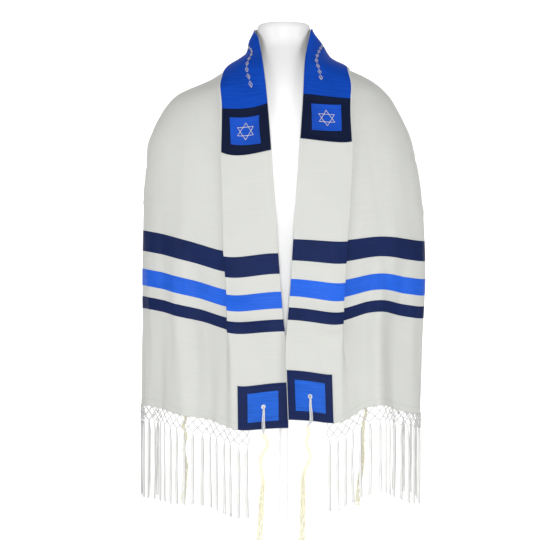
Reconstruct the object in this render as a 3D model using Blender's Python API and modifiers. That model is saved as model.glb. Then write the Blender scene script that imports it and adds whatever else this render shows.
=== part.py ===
"""Tallit prayer shawl draped on a limbless dress form that stands on a pole and a round base.

Metres, +Z up, front towards -Y. The origin is the centre of the base's underside. The cloth is
one surface, cloth_points(side, t, v): t runs along the shawl from a short hem (0) to the centre
of the back, and v runs across it from the neck edge (0) to the outer edge (CLOTH_WIDTH).
Every piece that is cut and sewn is a stretch of that surface, thickened.
"""

import math

import bmesh
import bpy
import numpy as np

# ---------------------------------------------------------------- driving dimensions
NECK_TOP = 1.50  # height of the form's neck; every "drop" below is measured down from here
CLOTH_WIDTH = 0.55
WALL = 0.0012  # thickness of the panels
PATCH_WALL = 0.0008  # thickness of the collar band and of the sewn-on squares
GAP = 0.0004  # between pieces at a seam
SIDES = {"left": -1, "right": 1}

BACK_AT = {"left": 0.919, "right": 0.903}  # from each hem to the centre of the back, 1.822 in all
FAN_START = 0.360  # above this the threads stop hanging straight and fan out over the shoulder

STRIPES = (  # name, lower edge, upper edge: distances from the hem
    ("end", 0.0, 0.1962),
    ("narrow_stripe", 0.1962, 0.2210),
    ("lower_gap", 0.2210, 0.2432),
    ("blue_stripe", 0.2432, 0.2772),
    ("upper_gap", 0.2772, 0.3135),
    ("wide_stripe", 0.3135, 0.3555),
)
CENTRE_START = STRIPES[-1][2]
STRIPE_FINISHES = {
    "narrow_stripe": "navy_silk",
    "blue_stripe": "blue_silk",
    "wide_stripe": "navy_silk",
}

PATCH_INSET = 0.0012  # of the corner squares from the cloth's edges
PATCH_SIZES = {"left": (0.092, 0.099), "right": (0.097, 0.090)}  # of a corner square: along, across
PATCH_CENTRE = 0.0605  # of a corner square's blue centre, both ways
COLLAR_INSET = 0.0008
COLLAR_WIDTH = 0.1050  # of the collar band and of the star squares
STAR_FRAME = 0.0182  # width of the navy border round a star square's blue centre
HOLE_RADIUS = 0.0032
SQUARE_SPANS = {"left": (0.5640, 0.6590), "right": (0.5590, 0.6500)}  # star squares, along the cloth

STRIP = 0.108  # the front strip lies on top, out to the edge of the pleat
FRINGE_LENGTH = 0.177
FRINGE_BUNDLES = 20

# ---------------------------------------------------------------- tables of the drape
RING_COLUMNS = ("drop", "left", "right", "front", "back")
RINGS = (  # half-widths to the left and right, and depths to the front and back
    (0.000, 0.0575, 0.0560, 0.0500, 0.0585),
    (0.0085, 0.0590, 0.0578, 0.0505, 0.0590),
    (0.035, 0.0705, 0.0735, 0.0560, 0.0640),
    (0.0635, 0.0730, 0.0850, 0.0740, 0.0710),
    (0.0860, 0.1030, 0.1120, 0.0840, 0.0790),
    (0.1010, 0.1280, 0.1490, 0.0900, 0.0840),
    (0.1214, 0.1640, 0.1870, 0.0965, 0.0900),
    (0.1400, 0.2070, 0.2110, 0.1020, 0.0945),
    (0.1610, 0.2370, 0.2275, 0.1065, 0.0990),
    (0.1873, 0.2560, 0.2420, 0.1120, 0.1040),
    (0.2176, 0.2710, 0.2555, 0.1170, 0.1085),
    (0.2510, 0.2805, 0.2675, 0.1215, 0.1120),
    (0.2950, 0.2875, 0.2780, 0.1255, 0.1150),
    (0.3500, 0.2915, 0.2865, 0.1285, 0.1175),
    (0.4300, 0.2938, 0.2930, 0.1325, 0.1210),
    (0.5500, 0.2950, 0.2958, 0.1375, 0.1250),
    (0.6600, 0.2955, 0.2930, 0.1415, 0.1260),
    (0.7700, 0.2960, 0.2890, 0.1445, 0.1260),
    (0.8500, 0.2965, 0.2850, 0.1460, 0.1260),
)

EDGE_COLUMNS = ("drop", "edge_left", "edge_right", "fold_left", "fold_right")
EDGES = (  # distance out from the middle: the neck edge and the pleat's fold, on the front
    (0.008, 0.0570, 0.0560, 0.1180, 0.1200),
    (0.040, 0.0500, 0.0495, 0.1200, 0.1250),
    (0.080, 0.0435, 0.0425, 0.1230, 0.1290),
    (0.1126, 0.0393, 0.0400, 0.1255, 0.1318),
    (0.1678, 0.0338, 0.0372, 0.1243, 0.1310),
    (0.2686, 0.0257, 0.0300, 0.1270, 0.1362),
    (0.3600, 0.0197, 0.0245, 0.1235, 0.1325),
    (0.4500, 0.0124, 0.0180, 0.1200, 0.1300),
    (0.5527, 0.0050, 0.0114, 0.1120, 0.1230),
    (0.6110, -0.0005, 0.0062, 0.1080, 0.1200),
    (0.6550, -0.0055, 0.0028, 0.1050, 0.1150),
    (0.7130, -0.0080, 0.0036, 0.1020, 0.1120),
    (0.8350, -0.0090, 0.0082, 0.0980, 0.1100),
)

HANG_COLUMNS = ("across", "hem_left", "hem_right", "stripe_left", "stripe_right")
HANGS = (  # drops of the hem and of the wide stripe's upper edge, by distance across
    (0.000, 0.8298, 0.8128, 0.4786, 0.4504),
    (0.060, 0.8325, 0.8175, 0.4778, 0.4520),
    (0.100, 0.8334, 0.8196, 0.4755, 0.4525),
    (0.130, 0.8255, 0.8080, 0.4695, 0.4495),
    (0.155, 0.8180, 0.7940, 0.4622, 0.4464),
    (0.185, 0.8120, 0.7860, 0.4538, 0.4442),
    (0.220, 0.8070, 0.7920, 0.4448, 0.4460),
    (0.260, 0.7995, 0.8040, 0.4365, 0.4500),
    (0.310, 0.7935, 0.8110, 0.4305, 0.4522),
    (0.380, 0.7960, 0.8040, 0.4300, 0.4450),
    (0.450, 0.8080, 0.7970, 0.4380, 0.4390),
    (0.520, 0.8180, 0.7960, 0.4480, 0.4385),
)

SAG_COLUMNS = ("along", "left", "right")
STRIP_SAGS = (  # how much lower the strip's outer part hangs than the panel beside it
    (0.000, 0.000, 0.000),
    (0.095, 0.0055, 0.0036),
    (0.200, 0.005, 0.006),
    (0.240, 0.007, 0.007),
    (0.277, 0.009, 0.006),
    (0.355, 0.011, 0.003),
    (0.450, 0.007, 0.004),
    (0.560, 0.0040, 0.0066),
    (0.650, 0.0115, 0.0108),
    (0.690, 0.0060, 0.0050),
    (0.720, 0.000, 0.000),
    (0.920, 0.000, 0.000),
)

# The fan over the shoulder: for each station, the turn round the body in degrees from the
# middle of the front, and the drop, at the neck edge, at the fold, and at five lines beyond it.
FAN_TURN = (  # station, edge, fold, line_1, line_2, line_3, line_4, outer
    (0.20, None, None, 41.0, 62.0, 89.0, 118.0, 140.0),
    (0.40, None, None, 46.0, 79.0, 108.0, 129.0, 145.0),
    (0.475, None, None, 57.0, 94.0, 117.0, 134.5, 147.0),
    (0.55, None, None, 74.0, 107.0, 125.0, 139.0, 149.5),
    (0.65, None, None, 99.0, 124.0, 136.5, 147.0, 154.5),
    (0.75, None, 84.0, 127.0, 141.0, 148.5, 155.0, 160.5),
    (0.795, None, 100.0, 137.5, 149.0, 154.5, 159.7, 163.8),
    (0.84, 94.0, 116.0, 147.0, 156.0, 160.0, 164.0, 167.0),
    (0.92, 138.0, 149.0, 164.0, 168.5, 170.5, 172.0, 173.5),
    (1.00, 180.0, 180.0, 180.0, 180.0, 180.0, 180.0, 180.0),
)
FAN_DROP = (  # station, edge, fold, line_1, line_2, line_3, line_4, outer
    (0.20, None, None, 0.334, 0.336, 0.345, 0.382, 0.424),
    (0.40, None, None, 0.212, 0.236, 0.297, 0.365, 0.424),
    (0.475, None, None, 0.183, 0.226, 0.303, 0.377, 0.439),
    (0.55, None, None, 0.162, 0.222, 0.311, 0.390, 0.455),
    (0.65, None, 0.116, 0.159, 0.242, 0.331, 0.411, 0.484),
    (0.75, None, 0.094, 0.172, 0.262, 0.351, 0.434, 0.514),
    (0.795, None, 0.0925, 0.180, 0.271, 0.359, 0.443, 0.526),
    (0.84, 0.010, 0.094, 0.188, 0.279, 0.367, 0.452, 0.537),
    (0.92, 0.0105, 0.104, 0.201, 0.290, 0.378, 0.464, 0.551),
    (1.00, 0.0150, 0.1195, 0.207, 0.294, 0.382, 0.469, 0.557),
)

FRONT_LEAVES = (("edge", 0.76, 0.84), ("fold", 0.64, 0.74))  # stations where a line leaves its table

# How the cloth doubles back along the strip's outer edge: the distance along, the angle it turns
# through in degrees, the turns' radius, and the flat middle between them.
PLEATS = {
    "left": (
        (0.000, 40.0, 0.0130, 0.008),
        (0.120, 50.0, 0.0110, 0.007),
        (0.190, 85.0, 0.0060, 0.006),
        (0.235, 150.0, 0.0025, 0.009),
        (0.280, 180.0, 0.0015, 0.016),
        (0.320, 180.0, 0.0015, 0.020),
        (0.720, 180.0, 0.0015, 0.020),
        (0.800, 180.0, 0.0015, 0.012),
        (0.860, 120.0, 0.0015, 0.004),
        (0.900, 30.0, 0.0015, 0.001),
        (0.920, 0.0, 0.0015, 0.000),
    ),
    "right": (
        (0.000, 18.0, 0.0130, 0.012),
        (0.090, 34.0, 0.0105, 0.009),
        (0.150, 75.0, 0.0060, 0.006),
        (0.195, 150.0, 0.0025, 0.009),
        (0.240, 180.0, 0.0015, 0.016),
        (0.290, 180.0, 0.0015, 0.020),
        (0.700, 180.0, 0.0015, 0.020),
        (0.780, 180.0, 0.0015, 0.012),
        (0.840, 120.0, 0.0015, 0.004),
        (0.880, 30.0, 0.0015, 0.001),
        (0.903, 0.0, 0.0015, 0.000),
    ),
}

# Soft lengthwise folds of the hanging ends: the distance across, width, height (negative in a
# trough), and the distances along below which a fold is full and above which it is gone.
HANGING_FOLDS = (
    ("left", 0.168, 0.024, -0.011, 0.10, 0.46),
    ("left", 0.216, 0.026, 0.006, 0.12, 0.42),
    ("left", 0.300, 0.030, -0.006, 0.05, 0.34),
    ("left", 0.405, 0.024, 0.012, 0.10, 0.36),
    ("left", 0.455, 0.020, -0.009, 0.10, 0.36),
    ("right", 0.184, 0.017, 0.015, 0.16, 0.34),
    ("right", 0.236, 0.022, -0.010, 0.14, 0.40),
    ("right", 0.345, 0.030, -0.006, 0.08, 0.36),
    ("right", 0.410, 0.024, 0.012, 0.10, 0.36),
    ("right", 0.462, 0.020, -0.008, 0.10, 0.36),
)

# Folds that spread from the shoulder to the outer edge of the back: station, width, height, and
# the part of the way across where they start.
BACK_FOLDS = {
    "left": (
        (0.20, 0.060, 0.018, 0.55),
        (0.43, 0.058, 0.036, 0.35),
        (0.66, 0.056, 0.032, 0.30),
        (0.87, 0.050, 0.026, 0.42),
    ),
    "right": (
        (0.22, 0.060, 0.016, 0.55),
        (0.45, 0.056, 0.033, 0.32),
        (0.69, 0.058, 0.034, 0.38),
        (0.88, 0.050, 0.022, 0.45),
    ),
}

FORM = (  # drop, half-width, depth to the front, depth to the back
    (0.000, 0.0510, 0.0495, 0.0495),
    (0.0015, 0.0532, 0.0517, 0.0517),
    (0.005, 0.0546, 0.0531, 0.0531),
    (0.011, 0.0555, 0.0540, 0.0540),
    (0.030, 0.0550, 0.0530, 0.0540),
    (0.050, 0.0565, 0.0550, 0.0565),
    (0.066, 0.0660, 0.0610, 0.0615),
    (0.082, 0.0880, 0.0670, 0.0680),
    (0.100, 0.1180, 0.0735, 0.0745),
    (0.120, 0.1512, 0.0810, 0.0812),
    (0.140, 0.1870, 0.0870, 0.0862),
    (0.161, 0.2130, 0.0920, 0.0920),
    (0.190, 0.2290, 0.0970, 0.0970),
    (0.220, 0.2380, 0.1000, 0.1000),
    (0.255, 0.2400, 0.1020, 0.1020),
    (0.300, 0.2280, 0.1020, 0.1020),
    (0.360, 0.1980, 0.1010, 0.0990),
    (0.440, 0.1800, 0.0980, 0.0940),
    (0.520, 0.1740, 0.0960, 0.0930),
    (0.600, 0.1800, 0.1000, 0.0990),
    (0.690, 0.1890, 0.1060, 0.1050),
    (0.762, 0.1860, 0.1060, 0.1040),
    (0.786, 0.1790, 0.1010, 0.0990),
    (0.792, 0.1680, 0.0920, 0.0900),
)
FORM_SIDES = 24
POLE_RADIUS = 0.0095
POLE_SINK = 0.030  # how far the pole reaches up inside its socket in the form
SOCKET_RADIUS = 0.0110
BASE_RADIUS = 0.165
BASE_HEIGHT = 0.012
BOSS_HEIGHT = 0.040
POLE_SIDES = 16
BASE_SIDES = 32


# ---------------------------------------------------------------- curves through tables
def curve_through(x, knots, values):
    """A natural cubic spline through the knots; values may have several columns."""
    knots = np.asarray(knots, float)
    values = np.asarray(values, float)
    count = len(knots)
    step = np.diff(knots)
    slope = (np.diff(values, axis=0).T / step).T
    system = np.eye(count)
    right = np.zeros_like(values)
    for i in range(1, count - 1):
        system[i, i - 1 : i + 2] = step[i - 1], 2 * (step[i - 1] + step[i]), step[i]
        right[i] = 6 * (slope[i] - slope[i - 1])
    bend = np.linalg.solve(system, right)
    x = np.clip(np.asarray(x, float), knots[0], knots[-1])
    i = np.clip(np.searchsorted(knots, x, "right") - 1, 0, count - 2)
    h = step[i]
    a, b = knots[i + 1] - x, x - knots[i]
    if values.ndim > 1:
        h, a, b = (part[..., None] for part in (h, a, b))
    return (
        (bend[i] * a**3 + bend[i + 1] * b**3) / (6 * h)
        + (values[i] / h - bend[i] * h / 6) * a
        + (values[i + 1] / h - bend[i + 1] * h / 6) * b
    )


def column(table, columns, name):
    return np.array([row[columns.index(name)] for row in table], float)


def ease(x, start, end):
    """0 at start, 1 at end, level at both."""
    u = np.clip((np.asarray(x, float) - start) / (end - start), 0, 1)
    return u * u * (3 - 2 * u)


# ---------------------------------------------------------------- the draped surface
RING_KNOTS = column(RINGS, RING_COLUMNS, "drop")


def ring_size(drop, name):
    return curve_through(drop, RING_KNOTS, column(RINGS, RING_COLUMNS, name))


def on_ring(side, turn, drop):
    """The point at this turn (radians from the middle of the front) and drop, before folds."""
    depth = np.where(np.cos(turn) > 0, ring_size(drop, "front"), ring_size(drop, "back"))
    out = ring_size(drop, side) * np.sin(turn)
    return np.stack([SIDES[side] * out, -depth * np.cos(turn), NECK_TOP - drop], -1)


def turn_at(side, out, drop):
    """Turn of the point of a ring that lies this far out from the middle, at the front."""
    return np.arcsin(np.clip(out / ring_size(drop, side), -1, 1))


def front_edge(side, drop, which):
    """Distance out from the middle, at a drop, of the neck edge or of the pleat's fold."""
    drops, outs = (column(EDGES, EDGE_COLUMNS, name) for name in ("drop", f"{which}_{side}"))
    return curve_through(drop, drops, outs)


def hang_drop(side, t, across):
    """Drop of the straight-hanging cloth; the threads between hem and stripes are about even."""
    knots = column(HANGS, HANG_COLUMNS, "across")
    hem = curve_through(across, knots, column(HANGS, HANG_COLUMNS, "hem_" + side))
    stripe = curve_through(across, knots, column(HANGS, HANG_COLUMNS, "stripe_" + side))
    return hem + (stripe - hem) * t / CENTRE_START


def hanging(side, t, across):
    """Turn and drop where the threads hang straight: `across` is measured round the ring."""
    drop = hang_drop(side, t, across)
    level = np.mean(drop)
    start = turn_at(side, front_edge(side, level, "edge"), level)
    turns = np.linspace(start, math.pi, 400)
    points = on_ring(side, turns, np.full(len(turns), level))
    reach = np.append(0, np.cumsum(np.linalg.norm(np.diff(points, axis=0), axis=1)))
    return np.interp(across, reach, turns), drop


def fan_lines(side, shown):
    """Distances across the cloth, on show, of the fan table's seven lines."""
    return np.append(0, STRIP + (shown - STRIP) * np.linspace(0, 1, 6))


FAN_SHOWN = 0.5005  # across the hanging cloth, less what the pleat hides


def fan_control(side):
    """The fan tables with their open cells filled in: stations, turns (radians), drops."""
    stations, turns, drops = [], [], []
    lines = fan_lines(side, FAN_SHOWN)
    back = BACK_AT[side]
    for station in (-0.30, -0.15, 0.0):
        turn, drop = hanging(side, FAN_START + station * (back - FAN_START), lines)
        stations.append(station)
        turns.append(turn)
        drops.append(drop)
    top = hang_drop(side, FAN_START, 0.0)
    for turn_row, drop_row in zip(FAN_TURN, FAN_DROP):
        station = turn_row[0]
        straight = top - station * (back - FAN_START)
        drop = np.array([straight if cell is None else cell for cell in drop_row[1:]])
        turn = np.array([0.0 if cell is None else math.radians(cell) for cell in turn_row[1:]])
        for place, name in enumerate(("edge", "fold")):
            if turn_row[1 + place] is None:
                turn[place] = turn_at(side, front_edge(side, drop[place], name), drop[place])
        stations.append(station)
        turns.append(turn)
        drops.append(drop)
    return np.array(stations), np.array(turns), np.array(drops)


FAN = {side: fan_control(side) for side in SIDES}


def fan_row(side, station):
    """Turns and drops of the fan's lines at a station; the two at the front keep to their table."""
    stations, turns, drops = FAN[side]
    turn, drop = (curve_through(station, stations, values) for values in (turns, drops))
    for line, (name, start, end) in enumerate(FRONT_LEAVES):
        kept = turn_at(side, front_edge(side, drop[line], name), drop[line])
        share = ease(station, 0, FAN_TURN[0][0]) * (1 - ease(station, start, end))
        turn[line] += (kept - turn[line]) * share
    return turn, drop


def base_points(side, t, across, shown, sag):
    """Points of the smooth drape at one distance t along the cloth, lowered by sag."""
    if t <= FAN_START:
        turn, drop = hanging(side, t, across)
    else:
        turns, drops = fan_row(side, (t - FAN_START) / (BACK_AT[side] - FAN_START))
        lines = fan_lines(side, shown)
        turn = curve_through(across, lines, turns)
        drop = curve_through(across, lines, drops)
    return on_ring(side, turn, drop + sag)


CROSSING = 0.0065  # how far the right front stands out where it crosses over the left


def fold_height(side, t, across):
    """How far the soft folds stand out from the smooth drape."""
    height = np.zeros_like(across)
    for name, place, width, tall, full, gone in HANGING_FOLDS:
        if name == side:
            height += tall * (1 - ease(t, full, gone)) * np.exp(-(((across - place) / width) ** 2))
    station = (t - FAN_START) / (BACK_AT[side] - FAN_START)
    along = (across - STRIP) / (FAN_SHOWN - STRIP)
    for place, width, tall, starts in BACK_FOLDS[side]:
        bump = math.exp(-(((station - place) / width) ** 2))
        height += tall * bump * np.clip((along - starts) / (1 - starts), 0, 1.1) ** 1.3
    if side == "right":  # this front crosses over the other near the hem
        height += CROSSING * (1 - ease(across, 0.0, 0.06)) * (1 - ease(t, 0.17, 0.30))
    return height


PLEAT_LEAST = 0.003  # breadth of a pleat's turns and middle where it has opened out


def pleat_shape(side, t):
    """The pleat's angle in radians, the radius of its turns, and its flat middle."""
    angle, radius, middle = eased_row(PLEATS[side], t)
    return math.radians(min(max(angle, 0.0), 180.0)), max(radius, 0.001), max(middle, 0.0)


def eased_row(table, t):
    """A table's row at t, eased from row to row, so that it never swings past their values."""
    knots = np.array([row[0] for row in table])
    i = int(np.clip(np.searchsorted(knots, t, "right") - 1, 0, len(knots) - 2))
    u = ease(t, knots[i], knots[i + 1])
    low, high = np.array(table[i][1:]), np.array(table[i + 1][1:])
    return low + (high - low) * u


def pleat_run(side, t):
    """Along the pleat: distances across the cloth, on-show distances, heights."""
    angle, radius, middle = pleat_shape(side, t)
    bend = max(radius * angle, 1e-6)
    turn = np.linspace(0, bend, 25)
    flat = bend + np.linspace(0, middle, 5)
    v = np.unique(np.concatenate([turn, flat, bend + middle + turn]))
    heading = angle * np.clip(np.minimum(v / bend, (2 * bend + middle - v) / bend), 0, 1)
    step = np.diff(v)
    mid = 0.5 * (heading[1:] + heading[:-1])
    shown = np.append(0, np.cumsum(np.cos(mid) * step))
    sunk = np.append(0, np.cumsum(np.sin(mid) * step))
    return STRIP + v, STRIP + shown, sunk[-1] - sunk


def cloth_shape(side, t, v):
    """On-show distances and heights above the smooth drape for the distances v across."""
    run, shown, height = pleat_run(side, t)
    beyond = v > run[-1]
    across = np.where(v < STRIP, v, np.interp(v, run, shown))
    across = np.where(beyond, shown[-1] + v - run[-1], across)
    lift = height[0] * ease(v, 0.02, STRIP - 0.012)
    lift = np.where(v < STRIP, lift, np.where(beyond, 0, np.interp(v, run, height)))
    return across, lift, shown[-1] + CLOTH_WIDTH - run[-1]


SAG_FADE = 0.03  # how far beyond the strip's edge its sag fades away
TINY = 0.0005  # step over which a slope is taken


def cloth_points(side, t, v):
    """Middle of the cloth's wall at the distances v across, at the distance t from the hem."""
    v = np.asarray(v, float)
    across, lift, shown = cloth_shape(side, t, v)
    places, sags = (column(STRIP_SAGS, SAG_COLUMNS, name) for name in ("along", side))
    sag = curve_through(t, places, sags) * ease(v, 0.0, STRIP) * (1 - ease(v, STRIP, STRIP + SAG_FADE))

    def near(along, over):
        return base_points(side, t + along * TINY, across + over * TINY, shown, sag)

    here = near(0, 0)
    normal = np.cross(near(0, 1) - near(0, -1), near(1, 0) - near(-1, 0)) * SIDES[side]
    normal /= np.linalg.norm(normal, axis=-1, keepdims=True)
    return here + normal * (lift + fold_height(side, t, across))[:, None]


# ---------------------------------------------------------------- materials and objects
SHARP_ANGLE = 35  # degrees between faces that a shaded edge shows
HOLE_SIDES = 10
PALETTE = {  # name: (red, green, blue), roughness, metallic
    "ivory_silk": ((0.72, 0.72, 0.68), 0.55, 0.0),
    "navy_silk": ((0.012, 0.020, 0.075), 0.50, 0.0),
    "blue_silk": ((0.030, 0.140, 0.720), 0.45, 0.0),
    "fringe_yarn": ((0.80, 0.79, 0.75), 0.80, 0.0),
    "tassel_cord": ((0.80, 0.76, 0.62), 0.85, 0.0),
    "eyelet_thread": ((0.80, 0.82, 0.85), 0.70, 0.0),
    "form_white": ((0.85, 0.85, 0.85), 0.40, 0.0),
    "stand_white": ((0.80, 0.80, 0.80), 0.30, 0.2),
}


def material(name):
    found = bpy.data.materials.get(name)
    if found:
        return found
    made = bpy.data.materials.new(name)
    made.use_nodes = True
    colour, roughness, metallic = PALETTE[name]
    shader = made.node_tree.nodes["Principled BSDF"]
    shader.inputs["Base Color"].default_value = (*colour, 1)
    shader.inputs["Roughness"].default_value = roughness
    shader.inputs["Metallic"].default_value = metallic
    return made


def start_scene():
    for old in list(bpy.data.objects):
        bpy.data.objects.remove(old, do_unlink=True)
    parts = bpy.data.collections.new("tallit_on_form")
    cutters = bpy.data.collections.new("cutters")
    for made in (parts, cutters):
        bpy.context.scene.collection.children.link(made)
    return parts, cutters


PARTS, CUTTERS = start_scene()


def add_object(name, mesh, finish, collection=None):
    made = bpy.data.objects.new(name, mesh)
    (collection or PARTS).objects.link(made)
    if finish:
        mesh.materials.append(material(finish))
    return made


def closed_mesh(name, points, faces):
    """A mesh with all its faces turned outwards, shaded smooth but for its sharp edges."""
    mesh = bpy.data.meshes.new(name)
    mesh.from_pydata([tuple(point) for point in points], [], faces)
    bm = bmesh.new()
    bm.from_mesh(mesh)
    bmesh.ops.recalc_face_normals(bm, faces=bm.faces)
    bm.to_mesh(mesh)
    bm.free()
    mesh.shade_smooth()
    mesh.set_sharp_from_angle(angle=math.radians(SHARP_ANGLE))
    return mesh


def sheet(name, cloth, finish, low, high):
    """A closed wall between two heights above the cloth, given as a grid of points and normals."""
    grid, normals = cloth
    rows, columns = grid.shape[:2]
    index = np.arange(rows * columns).reshape(rows, columns)
    rim = [*index[0, :-1], *index[:-1, -1], *index[-1, :0:-1], *index[:0:-1, 0]]
    faces = []
    for shell in (index, index + index.size):
        for i in range(rows - 1):
            for j in range(columns - 1):
                faces.append((shell[i, j], shell[i, j + 1], shell[i + 1, j + 1]))
                faces.append((shell[i, j], shell[i + 1, j + 1], shell[i + 1, j]))
    for here, after in zip(rim, rim[1:] + rim[:1]):
        faces.append((here, after, after + index.size, here + index.size))
    points = np.concatenate([(grid + normals * height).reshape(-1, 3) for height in (low, high)])
    return add_object(name, closed_mesh(name, points, faces), finish)


def cut_hole(item, cutter):
    hole = item.modifiers.new("hole", "BOOLEAN")
    hole.operation = "DIFFERENCE"
    hole.object = cutter


# ---------------------------------------------------------------- the shawl's panels


def square_lines(start, size, frame):
    """The edges and the middle of a square and of its blue centre."""
    return start + np.array((0, frame, size / 2, size - frame, size))


PATCH_ALONG, PATCH_ACROSS = (
    {
        side: square_lines(PATCH_INSET, sizes[way], (sizes[way] - PATCH_CENTRE) / 2)
        for side, sizes in PATCH_SIZES.items()
    }
    for way in (0, 1)
)
COLLAR_LINES = square_lines(COLLAR_INSET, COLLAR_WIDTH, STAR_FRAME)
NEAR_PATCH = slice(1, 6)  # columns of a grid that the squares at its near and far edges cover
FAR_PATCH = slice(-6, -1)
PATCH_ROWS = slice(1, 6)
CENTRE_CELLS = slice(1, 4)  # of a patch's lines, those of its blue centre
OUTER_STEPS = 9
END_LENGTHS = {
    side: (0, *lines, 0.150, STRIPES[0][2] - GAP / 2) for side, lines in PATCH_ALONG.items()
}
SQUARE_LENGTHS = {
    side: square_lines(start, end - start, STAR_FRAME) for side, (start, end) in SQUARE_SPANS.items()
}
SQUARE_ROWS = slice(5, 10)
FRONT_LENGTHS = (CENTRE_START + GAP / 2, 0.395, 0.440, 0.480, 0.520)
SHOULDER_STEPS = 11
SEAM_REACH = 0.004  # a seam's slope is taken from this far on both sides of it


def across_lines(side, t, corners=False):
    """Where the mesh has its lengthwise lines: the squares' edges, the pleat, the outer panel."""
    angle, radius, middle = pleat_shape(side, t)
    bend = max(radius * angle, PLEAT_LEAST)
    widening = ease(t, CENTRE_START, SQUARE_SPANS[side][0])
    patch = PATCH_ACROSS[side]
    near = (0, *(patch + (COLLAR_LINES - patch) * widening))
    turn = STRIP + bend * np.array((0, 0.5, 1))
    back = turn + bend + max(middle, PLEAT_LEAST)
    far = CLOTH_WIDTH - np.array((0, *(patch if corners else patch[2::2])))[::-1]
    outer = np.linspace(back[-1], far[0], OUTER_STEPS + 1)[1:-1]
    return np.concatenate([near, turn, back, outer, far])


def grid_normals(grid):
    """Unit normals at a grid's points, averaged by angle from the faces round each."""
    normals = np.zeros_like(grid)
    first, last = slice(0, -1), slice(1, None)
    places = (first, first), (first, last), (last, last), (last, first)
    here = [grid[place] for place in places]
    square = np.cross(here[2] - here[0], here[3] - here[1])
    square /= np.linalg.norm(square, axis=-1, keepdims=True)
    for k, place in enumerate(places):
        after, before = here[(k + 1) % 4] - here[k], here[k - 1] - here[k]
        size = np.linalg.norm(np.cross(after, before), axis=-1, keepdims=True)
        normals[place] += square * np.arctan2(size, np.sum(after * before, axis=-1, keepdims=True))
    return normals / np.linalg.norm(normals, axis=-1, keepdims=True)


def rows_of(side, lengths):
    return np.array([cloth_points(side, t, across_lines(side, t)) for t in lengths])


def seam_row(side, t):
    """A row of points and outward normals, the same whichever piece it ends."""
    lines = across_lines(side, t)
    grid = np.array([cloth_points(side, t + step, lines) for step in (-SEAM_REACH, 0, SEAM_REACH)])
    return grid[1], grid_normals(grid)[1] * SIDES[side]


def end_stretch(side):
    """The end panel's grid and normals; its top edge is as straight-sided as its neighbour's."""
    grid = [cloth_points(side, t, across_lines(side, t, True)) for t in END_LENGTHS[side]]
    top = END_LENGTHS[side][-1]
    lines = across_lines(side, top, True)
    seam, seam_normals = (
        np.stack([np.interp(lines, across_lines(side, top), row[:, axis]) for axis in range(3)], -1)
        for row in seam_row(side, top)
    )
    grid = np.array([*grid[:-1], seam])
    normals = grid_normals(grid) * SIDES[side]
    normals[-1] = seam_normals
    return grid, normals


def centre_stretch():
    """The whole middle of the shawl, from the left front round the neck to the right front."""
    halves = []
    for side, back in BACK_AT.items():
        shoulder = np.linspace(SQUARE_SPANS[side][1], back, SHOULDER_STEPS + 1)[1:]
        halves.append(rows_of(side, (*FRONT_LENGTHS, *SQUARE_LENGTHS[side], *shoulder)))
    grid = np.concatenate([halves[0], halves[1][-2::-1]])
    normals = -grid_normals(grid)
    for row, side in zip((0, -1), SIDES):
        normals[row] = seam_row(side, FRONT_LENGTHS[0])[1]
    return grid, normals


def make_bands(side):
    """The three stripes and the gaps between them, each its own piece."""
    for name, low, high in STRIPES[1:]:
        finish = STRIPE_FINISHES.get(name, "ivory_silk")
        band = zip(*(seam_row(side, t) for t in (low + GAP / 2, high - GAP / 2)))
        sheet(f"{name}_{side}", [np.array(part) for part in band], finish, -WALL / 2, WALL / 2)


# ---------------------------------------------------------------- pieces sewn on
NAVY_LOW = WALL / 2 + GAP
NAVY_HIGH = NAVY_LOW + PATCH_WALL
BLUE_LOW = NAVY_HIGH + GAP
BLUE_HIGH = BLUE_LOW + PATCH_WALL
EYELET_LOW = BLUE_HIGH + 1.5 * GAP
EYELET_HIGH = EYELET_LOW + PATCH_WALL


def part_of(cloth, rows, columns):
    return tuple(values[rows, columns] for values in cloth)


def make_end(side):
    """The ivory end with its two corner squares, tassel holes, eyelets and tassels."""
    cloth = end_stretch(side)
    end = sheet(f"end_{side}", cloth, "ivory_silk", -WALL / 2, WALL / 2)
    for place, columns in (("front", NEAR_PATCH), ("rear", FAR_PATCH)):
        corner = f"corner_{place}_{side}"
        square = part_of(cloth, PATCH_ROWS, columns)
        inner = part_of(square, CENTRE_CELLS, CENTRE_CELLS)
        navy = sheet(corner + "_navy", square, "navy_silk", NAVY_LOW, NAVY_HIGH)
        blue = sheet(corner + "_blue", inner, "blue_silk", BLUE_LOW, BLUE_HIGH)
        middle, normal = (values[1, 1] for values in inner)
        reach = EYELET_HIGH + HOLE_RADIUS
        ends = middle - normal * reach, middle + normal * reach
        cutter = rod(f"hole_{place}_{side}", *ends, HOLE_RADIUS)
        for item in (navy, blue, end):
            cut_hole(item, cutter)
        eyelet(corner + "_eyelet", middle + normal * EYELET_LOW, middle + normal * EYELET_HIGH)
        middle_line = part_of(cloth, slice(0, 4), columns.start + 2)
        make_tassel(side, place, *middle_line)


def frame_along(start, end):
    """Matrix columns of a frame whose third axis runs from start to end."""
    third = (end - start) / np.linalg.norm(end - start)
    first = np.cross(third, (0, 0, 1) if abs(third[2]) < 0.9 else (1, 0, 0))
    first /= np.linalg.norm(first)
    return first, np.cross(third, first), third


def circle(start, end, sides):
    """Unit vectors all round the line from start to end."""
    first, second, _ = frame_along(start, end)
    turns = np.linspace(0, 2 * math.pi, sides, endpoint=False)
    return np.cos(turns)[:, None] * first + np.sin(turns)[:, None] * second


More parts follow.
